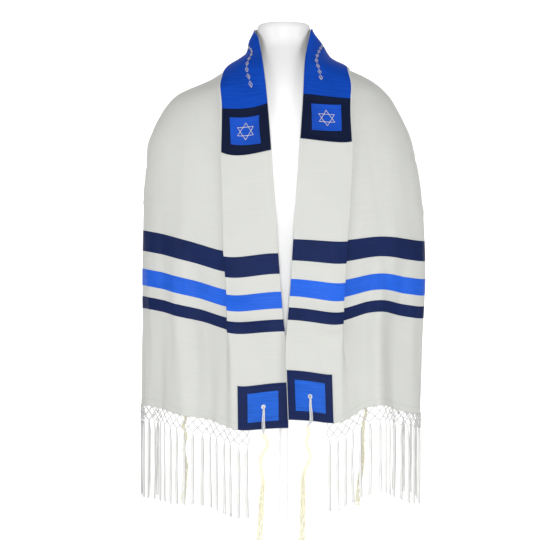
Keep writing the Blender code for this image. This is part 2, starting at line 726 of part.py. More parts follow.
def rings_mesh(name, rings, ends):
    """Rings of points joined side to side: a capped tube, or closed on itself."""
    count, sides = len(rings), len(rings[0])
    faces = []
    for i in range(count - 1 if ends else count):
        for j in range(sides):
            k, after = (j + 1) % sides, (i + 1) % count
            faces.append((i * sides + j, i * sides + k, after * sides + k, after * sides + j))
    if ends:
        faces += [tuple(range(sides)), tuple(range((count - 1) * sides, count * sides))]
    return closed_mesh(name, np.concatenate(rings), faces)


def helper(name, mesh):
    """A hidden object that a Boolean reads."""
    made = add_object(name, mesh, None, CUTTERS)
    made.hide_render = True
    made.display_type = "WIRE"
    return made


def rod(name, start, end, radius):
    around = radius * circle(start, end, HOLE_SIDES)
    return helper(name, rings_mesh(name, [start + around, end + around], True))


EYELET_RADII = ((0.0035, 0.0050), (0.0037, 0.0046))  # inner and outer, against the cloth and on top


def eyelet(name, low, high):
    """A flat stitched ring round the hole."""
    around = circle(low, high, HOLE_SIDES)
    (low_inner, low_outer), (high_inner, high_outer) = EYELET_RADII
    rings = [low + low_outer * around, high + high_outer * around]
    rings += [high + high_inner * around, low + low_inner * around]
    add_object(name, rings_mesh(name, rings, False), "eyelet_thread")


def between(first, second, distance):
    """The row of points this far from the first row towards the second."""
    step = second - first
    return first + step * distance / np.linalg.norm(step, axis=-1, keepdims=True)


def make_collar(cloth):
    """The blue band round the neck, and the star squares that end it."""
    last = SQUARE_ROWS.stop - 1
    grid, normals = part_of(cloth, slice(last, -last), NEAR_PATCH)
    grid = grid.copy()
    grid[0] = between(grid[0], grid[1], GAP)
    grid[-1] = between(grid[-1], grid[-2], GAP)
    sheet("collar_band", (grid, normals), "blue_silk", NAVY_LOW, NAVY_HIGH)
    for side in SIDES:
        half = cloth if side == "left" else tuple(values[::-1] for values in cloth)
        square = part_of(half, SQUARE_ROWS, NEAR_PATCH)
        sheet(f"collar_square_{side}", square, "navy_silk", NAVY_LOW, NAVY_HIGH)
        inner = part_of(square, CENTRE_CELLS, CENTRE_CELLS)
        sheet(f"collar_centre_{side}", inner, "blue_silk", BLUE_LOW, BLUE_HIGH)


# ---------------------------------------------------------------- fringe
FRINGE_WALL = 0.0016
FRINGE_SPAN = (0.108, 0.444)  # across the cloth, between the corner squares
STRIP_TOP = 1.5 * GAP
STRIP_DROP = 0.0075  # lower edge of the strip that the net hangs from
UPPER_KNOTS = 0.0175  # below the hem's edge
LOWER_KNOTS = 0.0290
KNOT_HALF = 0.0026
HEAD_HALF = 0.0034
KNOT_SWAY = 0.001
STRANDS = (-1, 0, 1)
STRAND_SPACE = 0.0029
STRAND_EDGES = (-0.0008, 0.0008)
STRAND_START = 0.005  # below the second row of knots
STRAND_UNEVEN = 0.035  # part of its length by which a strand may be shorter
STRAND_DRIFT = 0.0007  # sideways at its end
STRAND_SWING = 0.002  # outwards or inwards at its end


def make_fringe(side):
    """A knotted net with strands in threes, hanging from a narrow strip just below the hem."""
    first, last = FRINGE_SPAN
    pitch = (last - first) / FRINGE_BUNDLES
    lines = across_lines(side, 0.0, True)
    hem = cloth_points(side, 0.0, lines)
    points, faces = [], []

    def add(across, down, sway=0.0):
        """Adds a point this far below the hem's straight-sided edge, and gives its number."""
        place = [np.interp(across, lines, hem[:, axis]) for axis in range(3)]
        points.append(np.array(place) - (0, sway, down))
        return len(points) - 1

    low, upper = [], []
    joint = add(first, STRIP_DROP)
    corner = add(first, STRIP_TOP)
    for i in range(FRINGE_BUNDLES):  # the narrow strip
        middle = first + pitch * (i + 0.5)
        low.append([add(middle + shift, STRIP_DROP) for shift in (-KNOT_HALF, 0, KNOT_HALF)])
        joint_after, corner_after = (add(middle + pitch / 2, down) for down in (STRIP_DROP, STRIP_TOP))
        faces.append((corner, joint, *low[i], joint_after, corner_after))
        joint, corner = joint_after, corner_after
    for i in range(FRINGE_BUNDLES - 1):  # the first row of knots, between the bundles
        middle = first + pitch * (i + 1)
        rim = ((0, -KNOT_HALF), (-KNOT_HALF, 0), (0, KNOT_HALF), (KNOT_HALF, 0))
        top, left, foot, right = (
            add(middle + out, UPPER_KNOTS + down, KNOT_SWAY) for out, down in rim
        )
        upper.append((left, foot, right))
        faces.append((top, left, foot, right))
        faces.append((low[i][2], low[i][1], left, top))
        faces.append((low[i + 1][1], low[i + 1][0], top, right))
    for i in range(FRINGE_BUNDLES):  # the second row, at the heads of the bundles
        middle = first + pitch * (i + 0.5)
        crown = add(middle, LOWER_KNOTS - KNOT_HALF, KNOT_SWAY)
        left, right = (add(middle + out, LOWER_KNOTS, KNOT_SWAY) for out in (-HEAD_HALF, HEAD_HALF))
        places = [middle + strand * STRAND_SPACE for strand in STRANDS]
        feet = [
            add(place + edge, LOWER_KNOTS + STRAND_START) for place in places for edge in STRAND_EDGES
        ]
        faces.append((crown, left, *feet, right))
        before = upper[i - 1][1:] if i > 0 else (low[0][0], low[0][1])
        after = upper[i][:2] if i < FRINGE_BUNDLES - 1 else (low[i][1], low[i][2])
        faces.append((before[0], left, crown, before[1]))
        faces.append((after[0], crown, right, after[1]))
        for strand, place in enumerate(places):
            phase = 1.7 * i + 2.3 * strand
            down = FRINGE_LENGTH * (1 - STRAND_UNEVEN * math.sin(2.1 * phase) ** 2)
            drift, swing = STRAND_DRIFT * math.sin(phase), STRAND_SWING * math.sin(phase + 2)
            ends = [add(place + drift + edge, down, swing) for edge in STRAND_EDGES]
            faces.append((feet[2 * strand], ends[0], ends[1], feet[2 * strand + 1]))
    if side == "left":
        faces = [face[::-1] for face in faces]
    name = f"fringe_{side}"
    mesh = bpy.data.meshes.new(name)
    mesh.from_pydata([tuple(point) for point in points], [], faces)
    fringe = add_object(name, mesh, "fringe_yarn")
    wall = fringe.modifiers.new("wall", "SOLIDIFY")
    wall.thickness = FRINGE_WALL
    wall.offset = 0


# ---------------------------------------------------------------- corner tassels
TASSEL_CORD = 0.0012  # radius of the doubled cord through the hole
CORD_FRONT = EYELET_HIGH + TASSEL_CORD + GAP
CORD_BACK = -(WALL / 2 + TASSEL_CORD + GAP)
TASSEL_LOOP = (  # distance below the hole, height over the cloth's middle
    (0.0250, CORD_FRONT),
    (0.0038, CORD_FRONT),
    (0.0006, CORD_FRONT - 0.0006),
    (0.0000, 0.0010),
    (0.0000, -0.0008),
    (0.0026, CORD_BACK),
    (0.0250, CORD_BACK),
)
LOOP_BOW = 0.001  # outwards, halfway from the hem to the first knot
LOOP_LIFTS = (0.0005, 0.0003)  # of the loop's two ends above the first knot's top
TASSEL_OUT = 0.0012  # of the knots from the cloth's middle
TASSEL_START = 0.0095  # of the first knot below the hem
TASSEL_KNOTS = (  # distance below the first knot, radius
    (0.000, 0.0024),
    (0.003, 0.0038),
    (0.007, 0.0026),
    (0.021, 0.0026),
    (0.024, 0.0038),
    (0.028, 0.0026),
    (0.046, 0.0026),
    (0.050, 0.0041),
    (0.055, 0.0026),
    (0.070, 0.0026),
    (0.075, 0.0041),
    (0.079, 0.0034),
)
TASSEL_STRANDS = 8
STRAND_RADIUS = 0.0010
STRAND_SHORTER = 0.012  # steps between the strands' lengths
STRAND_PARTS = (0, 0.2, 0.55, 1.0)
STRAND_ROOT = 0.0022  # out from the tassel's middle
STRAND_SPREAD = 0.0032  # further out, lower down
STRAND_WAVE = 0.0022
STRAND_LIFT = 0.002  # of a strand's root into the last knot
TASSEL_REACH = {  # from the hem's edge to the strands' ends
    "front_left": 0.243,
    "front_right": 0.258,
    "rear_left": 0.200,
    "rear_right": 0.226,
}


def tube(name, path, radii, sides, level):
    """A capped tube along a path that lies about square to the direction `level`."""
    path = np.asarray(path, float)
    ahead = np.gradient(path, axis=0)
    ahead /= np.linalg.norm(ahead, axis=1, keepdims=True)
    other = np.cross(ahead, level)
    other /= np.linalg.norm(other, axis=1, keepdims=True)
    side = np.cross(other, ahead)
    turns = 2 * math.pi * (np.arange(sides) + 0.5) / sides
    rings = [
        point + radius * (np.cos(turns)[:, None] * u + np.sin(turns)[:, None] * w)
        for point, radius, u, w in zip(path, radii, side, other)
    ]
    return rings_mesh(name, rings, True)


def make_tassel(side, place, line, normals):
    """A cord looped through the corner's hole, four knots below the hem, eight strands."""
    name = f"tassel_{place}_{side}"
    out = normals[0] * (1, 1, 0)
    out /= np.linalg.norm(out)
    level = np.cross(out, (0, 0, 1.0))
    head = line[0] + out * TASSEL_OUT - (0, 0, TASSEL_START)
    lengths = END_LENGTHS[side][:4]
    hole = lengths[-1]

    def over(above, height):
        """The point this far above the hem, at this height over the cloth."""
        here, normal = (
            np.array([np.interp(above, lengths, values[:, axis]) for axis in range(3)])
            for values in (line, normals)
        )
        return here + normal * height

    def leading(height, bow):
        """Halfway from the head to the cloth's edge."""
        return 0.5 * (head + over(0, height)) + out * bow

    first, last = (head + (0, 0, lift) for lift in LOOP_LIFTS)
    hung = [(hole - below, height) for below, height in TASSEL_LOOP]
    edge = [(0, CORD_FRONT), *hung, (0, CORD_BACK)]
    loop = [first, leading(CORD_FRONT, LOOP_BOW), *[over(*row) for row in edge]]
    loop += [leading(CORD_BACK, -LOOP_BOW), last]
    stack = [head - (0, 0, below) for below, _ in TASSEL_KNOTS]
    mesh = tube(name, stack, [radius for _, radius in TASSEL_KNOTS], 7, level)
    tassel = add_object(name, mesh, "tassel_cord")
    added = [tube(name + "_loop", loop, [TASSEL_CORD] * len(loop), 5, level)]
    length = TASSEL_REACH[f"{place}_{side}"] - TASSEL_START - TASSEL_KNOTS[-1][0]
    for strand in range(TASSEL_STRANDS):
        turn = 2 * math.pi * (strand + 0.5) / TASSEL_STRANDS
        spread = np.array([math.cos(turn), math.sin(turn), 0])
        path = []
        for part in STRAND_PARTS:
            wave = STRAND_WAVE * math.sin(5.0 * part + 0.8 * strand) * part
            apart = STRAND_ROOT + STRAND_SPREAD * ease(part, 0, 0.35) + wave
            fall = (length - STRAND_SHORTER * (strand % 3)) * part
            path.append(stack[-1] + spread * apart + (0, 0, STRAND_LIFT - fall))
        radii = [STRAND_RADIUS] * len(path)
        added.append(tube(f"{name}_strand_{strand}", path, radii, 3, level))
    for mesh in added:
        join = tassel.modifiers.new("join", "BOOLEAN")
        join.operation = "UNION"
        join.object = helper(mesh.name, mesh)


# ---------------------------------------------------------------- dress form and stand
def make_form():
    """A smooth limbless torso with a socket for the pole in its underside."""
    turns = np.linspace(0, 2 * math.pi, FORM_SIDES, endpoint=False)
    rings = []
    for drop, half, front, back in FORM:
        depth = np.where(np.cos(turns) > 0, front, back)
        level = np.full(FORM_SIDES, NECK_TOP - drop)
        rings.append(np.stack([half * np.sin(turns), -depth * np.cos(turns), level], -1))
    torso = add_object("form_torso", rings_mesh("form_torso", rings, True), "form_white")
    floor = NECK_TOP - FORM[-1][0]
    low, high = np.array([0, 0, floor - SOCKET_RADIUS]), np.array([0, 0, floor + POLE_SINK + GAP])
    cut_hole(torso, rod("pole_socket", low, high, SOCKET_RADIUS))


def turned(name, profile, finish, sides):
    """A profile of (radius, height) swept round Z."""
    mesh = bpy.data.meshes.new(name)
    points = [(radius, 0, height) for radius, height in profile]
    mesh.from_pydata(points, [(i, i + 1) for i in range(len(points) - 1)], [])
    made = add_object(name, mesh, finish)
    screw = made.modifiers.new("turn", "SCREW")
    screw.axis = "Z"
    screw.angle = 2 * math.pi
    screw.steps = sides
    screw.render_steps = sides
    screw.use_merge_vertices = True
    screw.merge_threshold = 1e-5
    screw.use_smooth_shade = True
    return made


EDGE = 0.003  # bevel round the base's rim
POLE_EDGE = 0.001
BOSS_STEPS = (  # out from the boss's bore, up from its top or from the base: its sloping side
    (0.006, BOSS_HEIGHT),
    (0.009, BOSS_HEIGHT - 0.004),
    (0.012, BASE_HEIGHT + 0.004),
    (0.018, BASE_HEIGHT),
)


def make_stand():
    """The pole, and the round base whose boss it stands in."""
    top = NECK_TOP - FORM[-1][0] + POLE_SINK
    bottom = BASE_HEIGHT + GAP
    pole = [(0, top), (POLE_RADIUS - POLE_EDGE, top), (POLE_RADIUS, top - POLE_EDGE)]
    turned("stand_pole", [*pole, (POLE_RADIUS, bottom), (0, bottom)], "stand_white", POLE_SIDES)
    bore = POLE_RADIUS + GAP
    base = [(0, BASE_HEIGHT), (bore, BASE_HEIGHT), (bore, BOSS_HEIGHT)]
    base += [(bore + out, height) for out, height in BOSS_STEPS]
    base += [(BASE_RADIUS - EDGE, BASE_HEIGHT), (BASE_RADIUS, BASE_HEIGHT - EDGE)]
    base += [(BASE_RADIUS, 0), (0, 0)]
    turned("stand_base", base, "stand_white", BASE_SIDES)


def main():
    centre = centre_stretch()
    sheet("centre_panel", centre, "ivory_silk", -WALL / 2, WALL / 2)
    make_collar(centre)
    for side in SIDES:
        make_bands(side)
        make_end(side)
        make_fringe(side)
    make_form()
    make_stand()


main()
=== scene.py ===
"""The look of the tallit prayer shawl on its dress form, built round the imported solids."""

import math

import bpy
import numpy as np
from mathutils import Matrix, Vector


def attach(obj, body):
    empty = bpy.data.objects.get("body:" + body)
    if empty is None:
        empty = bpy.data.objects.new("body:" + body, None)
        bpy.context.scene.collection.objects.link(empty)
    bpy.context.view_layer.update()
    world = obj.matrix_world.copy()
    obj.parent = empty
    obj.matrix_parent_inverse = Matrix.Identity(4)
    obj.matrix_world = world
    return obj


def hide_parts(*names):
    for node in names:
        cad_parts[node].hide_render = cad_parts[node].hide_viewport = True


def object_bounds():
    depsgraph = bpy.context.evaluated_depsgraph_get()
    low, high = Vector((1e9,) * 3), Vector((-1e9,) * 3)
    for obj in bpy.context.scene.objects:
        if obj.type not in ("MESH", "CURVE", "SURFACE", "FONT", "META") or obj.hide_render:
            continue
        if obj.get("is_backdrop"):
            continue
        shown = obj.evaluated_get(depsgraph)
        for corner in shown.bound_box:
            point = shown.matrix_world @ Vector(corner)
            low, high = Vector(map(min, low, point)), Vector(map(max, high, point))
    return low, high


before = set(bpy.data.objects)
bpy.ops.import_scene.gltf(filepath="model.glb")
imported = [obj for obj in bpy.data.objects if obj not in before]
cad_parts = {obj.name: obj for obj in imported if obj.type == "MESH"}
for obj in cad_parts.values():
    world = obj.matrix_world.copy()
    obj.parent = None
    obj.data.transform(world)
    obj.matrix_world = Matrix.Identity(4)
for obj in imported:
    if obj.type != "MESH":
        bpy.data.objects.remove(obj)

CAD_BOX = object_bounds()


def by_column(names, *rows):
    """A table's columns by their names."""
    return dict(zip(names, np.array(rows, float).T))


# ---------------------------------------------------------------- the solids' own dimensions
NECK_TOP = 1.5  # height of the form's neck; every "drop" below is measured down from here
CLOTH_WIDTH = 0.55
SIDES = {"left": -1, "right": 1}
BACK_AT = {"left": 0.919, "right": 0.903}  # from each hem to the centre of the back
CLOTH_LENGTH = sum(BACK_AT.values())
FAN_START = 0.36  # above this the threads stop hanging straight and fan out over the shoulder

STRIPES = (  # name, lower edge, upper edge: distances from the hem
    ("end", 0.0, 0.1962),
    ("narrow_stripe", 0.1962, 0.221),
    ("lower_gap", 0.221, 0.2432),
    ("blue_stripe", 0.2432, 0.2772),
    ("upper_gap", 0.2772, 0.3135),
    ("wide_stripe", 0.3135, 0.3555),
)
CENTRE_START = STRIPES[-1][2]
STRIPE_FINISHES = {"narrow_stripe": 1, "blue_stripe": 2, "wide_stripe": 1}  # ivory is 0

PATCH_INSET = 0.0012  # of the corner squares from the cloth's edges
PATCH_SIZES = {"left": (0.092, 0.099), "right": (0.097, 0.09)}  # of a corner square: along, across
PATCH_CENTRE = 0.0605  # of a corner square's blue centre, both ways
COLLAR_INSET = 0.0008
COLLAR_WIDTH = 0.105  # of the collar band and of the star squares
SQUARE_SPANS = {"left": (0.564, 0.659), "right": (0.559, 0.65)}  # star squares, along the cloth

STRIP = 0.108  # the front strip lies on top, out to the edge of the pleat
FRINGE_LENGTH = 0.177
FRINGE_BUNDLES = 20

# ---------------------------------------------------------------- tables of the drape
RINGS = by_column(  # half-widths to the left and right, and depths to the front and back
    ("drop", "left", "right", "front", "back"),
    (0.0, 0.0575, 0.056, 0.05, 0.0585),
    (0.0085, 0.059, 0.0578, 0.0505, 0.059),
    (0.035, 0.0705, 0.0735, 0.056, 0.064),
    (0.0635, 0.073, 0.085, 0.074, 0.071),
    (0.086, 0.103, 0.112, 0.084, 0.079),
    (0.101, 0.128, 0.149, 0.09, 0.084),
    (0.1214, 0.164, 0.187, 0.0965, 0.09),
    (0.14, 0.207, 0.211, 0.102, 0.0945),
    (0.161, 0.237, 0.2275, 0.1065, 0.099),
    (0.1873, 0.256, 0.242, 0.112, 0.104),
    (0.2176, 0.271, 0.2555, 0.117, 0.1085),
    (0.251, 0.2805, 0.2675, 0.1215, 0.112),
    (0.295, 0.2875, 0.278, 0.1255, 0.115),
    (0.35, 0.2915, 0.2865, 0.1285, 0.1175),
    (0.43, 0.2938, 0.293, 0.1325, 0.121),
    (0.55, 0.295, 0.2958, 0.1375, 0.125),
    (0.66, 0.2955, 0.293, 0.1415, 0.126),
    (0.77, 0.296, 0.289, 0.1445, 0.126),
    (0.85, 0.2965, 0.285, 0.146, 0.126),
)

EDGES = by_column(  # distance out from the middle: the neck edge and the pleat's fold, on the front
    ("drop", "edge_left", "edge_right", "fold_left", "fold_right"),
    (0.008, 0.057, 0.056, 0.118, 0.12),
    (0.04, 0.05, 0.0495, 0.12, 0.125),
    (0.08, 0.0435, 0.0425, 0.123, 0.129),
    (0.1126, 0.0393, 0.04, 0.1255, 0.1318),
    (0.1678, 0.0338, 0.0372, 0.1243, 0.131),
    (0.2686, 0.0257, 0.03, 0.127, 0.1362),
    (0.36, 0.0197, 0.0245, 0.1235, 0.1325),
    (0.45, 0.0124, 0.018, 0.12, 0.13),
    (0.5527, 0.005, 0.0114, 0.112, 0.123),
    (0.611, -0.0005, 0.0062, 0.108, 0.12),
    (0.655, -0.0055, 0.0028, 0.105, 0.115),
    (0.713, -0.008, 0.0036, 0.102, 0.112),
    (0.835, -0.009, 0.0082, 0.098, 0.11),
)

HANGS = by_column(  # drops of the hem and of the wide stripe's upper edge, by distance across
    ("across", "hem_left", "hem_right", "stripe_left", "stripe_right"),
    (0.0, 0.8298, 0.8128, 0.4786, 0.4504),
    (0.06, 0.8325, 0.8175, 0.4778, 0.452),
    (0.1, 0.8334, 0.8196, 0.4755, 0.4525),
    (0.13, 0.8255, 0.808, 0.4695, 0.4495),
    (0.155, 0.818, 0.794, 0.4622, 0.4464),
    (0.185, 0.812, 0.786, 0.4538, 0.4442),
    (0.22, 0.807, 0.792, 0.4448, 0.446),
    (0.26, 0.7995, 0.804, 0.4365, 0.45),
    (0.31, 0.7935, 0.811, 0.4305, 0.4522),
    (0.38, 0.796, 0.804, 0.43, 0.445),
    (0.45, 0.808, 0.797, 0.438, 0.439),
    (0.52, 0.818, 0.796, 0.448, 0.4385),
)

STRIP_SAGS = by_column(  # how much lower the strip's outer part hangs than the panel beside it
    ("along", "left", "right"),
    (0.0, 0.0, 0.0),
    (0.095, 0.0055, 0.0036),
    (0.2, 0.005, 0.006),
    (0.24, 0.007, 0.007),
    (0.277, 0.009, 0.006),
    (0.355, 0.011, 0.003),
    (0.45, 0.007, 0.004),
    (0.56, 0.004, 0.0066),
    (0.65, 0.0115, 0.0108),
    (0.69, 0.006, 0.005),
    (0.72, 0.0, 0.0),
    (0.92, 0.0, 0.0),
)

# The fan over the shoulder: for each station, the turn round the body in degrees from the
# middle of the front, and the drop, at the neck edge, at the fold, and at five lines beyond it.
FAN_TURN = (  # station, edge, fold, line_1, line_2, line_3, line_4, outer
    (0.2, None, None, 41.0, 62.0, 89.0, 118.0, 140.0),
    (0.4, None, None, 46.0, 79.0, 108.0, 129.0, 145.0),
    (0.475, None, None, 57.0, 94.0, 117.0, 134.5, 147.0),
    (0.55, None, None, 74.0, 107.0, 125.0, 139.0, 149.5),
    (0.65, None, None, 99.0, 124.0, 136.5, 147.0, 154.5),
    (0.75, None, 84.0, 127.0, 141.0, 148.5, 155.0, 160.5),
    (0.795, None, 100.0, 137.5, 149.0, 154.5, 159.7, 163.8),
    (0.84, 94.0, 116.0, 147.0, 156.0, 160.0, 164.0, 167.0),
    (0.92, 138.0, 149.0, 164.0, 168.5, 170.5, 172.0, 173.5),
    (1.0, 180.0, 180.0, 180.0, 180.0, 180.0, 180.0, 180.0),
)
FAN_DROP = (  # station, edge, fold, line_1, line_2, line_3, line_4, outer
    (0.2, None, None, 0.334, 0.336, 0.345, 0.382, 0.424),
    (0.4, None, None, 0.212, 0.236, 0.297, 0.365, 0.424),
    (0.475, None, None, 0.183, 0.226, 0.303, 0.377, 0.439),
    (0.55, None, None, 0.162, 0.222, 0.311, 0.39, 0.455),
    (0.65, None, 0.116, 0.159, 0.242, 0.331, 0.411, 0.484),
    (0.75, None, 0.094, 0.172, 0.262, 0.351, 0.434, 0.514),
    (0.795, None, 0.0925, 0.18, 0.271, 0.359, 0.443, 0.526),
    (0.84, 0.01, 0.094, 0.188, 0.279, 0.367, 0.452, 0.537),
    (0.92, 0.0105, 0.104, 0.201, 0.29, 0.378, 0.464, 0.551),
    (1.0, 0.015, 0.1195, 0.207, 0.294, 0.382, 0.469, 0.557),
)

FRONT_LEAVES = (("edge", 0.76, 0.84), ("fold", 0.64, 0.74))  # stations where a line leaves its table

# How the cloth doubles back along the strip's outer edge: the distance along, the angle it turns
# through in degrees, the turns' radius, and the flat middle between them.
PLEATS = {
    "left": (
        (0.0, 40.0, 0.013, 0.008),
        (0.12, 50.0, 0.011, 0.007),
        (0.19, 85.0, 0.006, 0.006),
        (0.235, 150.0, 0.0025, 0.009),
        (0.28, 180.0, 0.0015, 0.016),
        (0.32, 180.0, 0.0015, 0.02),
        (0.72, 180.0, 0.0015, 0.02),
        (0.8, 180.0, 0.0015, 0.012),
        (0.86, 120.0, 0.0015, 0.004),
        (0.9, 30.0, 0.0015, 0.001),
        (0.92, 0.0, 0.0015, 0.0),
    ),
    "right": (
        (0.0, 18.0, 0.013, 0.012),
        (0.09, 34.0, 0.0105, 0.009),
        (0.15, 75.0, 0.006, 0.006),
        (0.195, 150.0, 0.0025, 0.009),
        (0.24, 180.0, 0.0015, 0.016),
        (0.29, 180.0, 0.0015, 0.02),
        (0.7, 180.0, 0.0015, 0.02),
        (0.78, 180.0, 0.0015, 0.012),
        (0.84, 120.0, 0.0015, 0.004),
        (0.88, 30.0, 0.0015, 0.001),
        (0.903, 0.0, 0.0015, 0.0),
    ),
}

# Soft lengthwise folds of the hanging ends: the distance across, width, height (negative in a
# trough), and the distances along below which a fold is full and above which it is gone.
HANGING_FOLDS = (
    ("left", 0.168, 0.024, -0.011, 0.1, 0.46),
    ("left", 0.216, 0.026, 0.006, 0.12, 0.42),
    ("left", 0.3, 0.03, -0.006, 0.05, 0.34),
    ("left", 0.405, 0.024, 0.012, 0.1, 0.36),
    ("left", 0.455, 0.02, -0.009, 0.1, 0.36),
    ("right", 0.184, 0.017, 0.015, 0.16, 0.34),
    ("right", 0.236, 0.022, -0.01, 0.14, 0.4),
    ("right", 0.345, 0.03, -0.006, 0.08, 0.36),
    ("right", 0.41, 0.024, 0.012, 0.1, 0.36),
    ("right", 0.462, 0.02, -0.008, 0.1, 0.36),
)

# Folds that spread from the shoulder to the outer edge of the back: station, width, height, and
# the part of the way across where they start.
BACK_FOLDS = {
    "left": (
        (0.2, 0.06, 0.018, 0.55),
        (0.43, 0.058, 0.036, 0.35),
        (0.66, 0.056, 0.032, 0.3),
        (0.87, 0.05, 0.026, 0.42),
    ),
    "right": (
        (0.22, 0.06, 0.016, 0.55),
        (0.45, 0.056, 0.033, 0.32),
        (0.69, 0.058, 0.034, 0.38),
        (0.88, 0.05, 0.022, 0.45),
    ),
}

FORM = (  # drop, half-width, depth to the front, depth to the back
    (0.0, 0.051, 0.0495, 0.0495),
    (0.0015, 0.0532, 0.0517, 0.0517),
    (0.005, 0.0546, 0.0531, 0.0531),
    (0.011, 0.0555, 0.054, 0.054),
    (0.03, 0.055, 0.053, 0.054),
    (0.05, 0.0565, 0.055, 0.0565),
    (0.066, 0.066, 0.061, 0.0615),
    (0.082, 0.088, 0.067, 0.068),
    (0.1, 0.118, 0.0735, 0.0745),
    (0.12, 0.1512, 0.081, 0.0812),
    (0.14, 0.187, 0.087, 0.0862),
    (0.161, 0.213, 0.092, 0.092),
    (0.19, 0.229, 0.097, 0.097),
    (0.22, 0.238, 0.1, 0.1),
    (0.255, 0.24, 0.102, 0.102),
    (0.3, 0.228, 0.102, 0.102),
    (0.36, 0.198, 0.101, 0.099),
    (0.44, 0.18, 0.098, 0.094),
    (0.52, 0.174, 0.096, 0.093),
    (0.6, 0.18, 0.1, 0.099),
    (0.69, 0.189, 0.106, 0.105),
    (0.762, 0.186, 0.106, 0.104),
    (0.786, 0.179, 0.101, 0.099),
    (0.792, 0.168, 0.092, 0.09),
)
POLE_RADIUS = 0.0095
BASE_RADIUS = 0.165
BASE_HEIGHT = 0.012
BOSS_HEIGHT = 0.04


# ---------------------------------------------------------------- curves through tables
BENDS = {}


def spline_bends(knots, values):
    """Second derivatives of a natural cubic spline at its knots, worked out once for each curve."""
    key = knots.tobytes(), values.tobytes()
    if key not in BENDS:
        count = len(knots)
        step = np.diff(knots)
        slope = (np.diff(values, axis=0).T / step).T
        system = np.eye(count)
        right = np.zeros_like(values)
        for i in range(1, count - 1):
            system[i, i - 1 : i + 2] = step[i - 1], 2 * (step[i - 1] + step[i]), step[i]
            right[i] = 6 * (slope[i] - slope[i - 1])
        BENDS[key] = np.linalg.solve(system, right)
    return BENDS[key]


def curve_through(x, knots, values):
    """A natural cubic spline through the knots; values may have several columns."""
    knots = np.asarray(knots, float)
    values = np.asarray(values, float)
    bend = spline_bends(knots, values)
    x = np.clip(np.asarray(x, float), knots[0], knots[-1])
    i = np.clip(np.searchsorted(knots, x, "right") - 1, 0, len(knots) - 2)
    h = np.diff(knots)[i]
    a, b = knots[i + 1] - x, x - knots[i]
    if values.ndim > 1:
        h, a, b = (part[..., None] for part in (h, a, b))
    return (
        (bend[i] * a**3 + bend[i + 1] * b**3) / (6 * h)
        + (values[i] / h - bend[i] * h / 6) * a
        + (values[i + 1] / h - bend[i + 1] * h / 6) * b
    )


def ease(x, start, end):
    """0 at start, 1 at end, level at both."""
    u = np.clip((np.asarray(x, float) - start) / (end - start), 0, 1)
    return u * u * (3 - 2 * u)


# ---------------------------------------------------------------- the draped surface
HANG_SAMPLES = 400  # points of a ring, from the neck edge round to the middle of the back
HANG_STATIONS = (-0.3, -0.15, 0.0)  # stations below the fan that lead into it
FAN_SHOWN = 0.5005  # across the hanging cloth, less what the pleat hides
BACK_GROWTH = 1.3  # power by which the back's folds grow outwards
BACK_REACH = 1.1
CROSSING = 0.0065  # how far the right front stands out where it crosses over the left
CROSSING_ACROSS = 0.06
CROSSING_ALONG = (0.17, 0.3)
PLEAT_LEAST = 0.003  # breadth of a pleat's turns and middle where it has opened out
RADIUS_LEAST = 0.001
BEND_LEAST = 1e-6
PLEAT_SAMPLES = (25, 5)  # along one of its turns, and along its flat middle
LIFT_ENDS = (0.02, STRIP - 0.012)  # across the strip, where it starts to rise and lies on the pleat
SAG_FADE = 0.03  # how far beyond the strip's edge its sag fades away
TINY = 0.0005  # step over which a slope is taken


def ring_size(drop, name):
    return curve_through(drop, RINGS["drop"], RINGS[name])


def on_ring(side, turn, drop):
    """The point at this turn (radians from the middle of the front) and drop, before folds."""
    depth = np.where(np.cos(turn) > 0, ring_size(drop, "front"), ring_size(drop, "back"))
    out = ring_size(drop, side) * np.sin(turn)
    return np.stack([SIDES[side] * out, -depth * np.cos(turn), NECK_TOP - drop], -1)


def turn_at(side, out, drop):
    """Turn of the point of a ring that lies this far out from the middle, at the front."""
    return np.arcsin(np.clip(out / ring_size(drop, side), -1, 1))


def front_edge(side, drop, which):
    """Distance out from the middle, at a drop, of the neck edge or of the pleat's fold."""
    return curve_through(drop, EDGES["drop"], EDGES[f"{which}_{side}"])


def hang_drop(side, t, across):
    """Drop of the straight-hanging cloth; the threads between hem and stripes are about even."""
    hem, stripe = (
        curve_through(across, HANGS["across"], HANGS[f"{name}_{side}"]) for name in ("hem", "stripe")
    )
    return hem + (stripe - hem) * t / CENTRE_START


def hanging(side, t, across):
    """Turn and drop where the threads hang straight: `across` is measured round the ring."""
    drop = hang_drop(side, t, across)
    level = np.mean(drop)
    start = turn_at(side, front_edge(side, level, "edge"), level)
    turns = np.linspace(start, math.pi, HANG_SAMPLES)
    points = on_ring(side, turns, np.full(len(turns), level))
    reach = np.append(0, np.cumsum(np.linalg.norm(np.diff(points, axis=0), axis=1)))
    return np.interp(across, reach, turns), drop


def fan_lines(side, shown):
    """Distances across the cloth, on show, of the fan table's seven lines."""
    return np.append(0, STRIP + (shown - STRIP) * np.linspace(0, 1, 6))


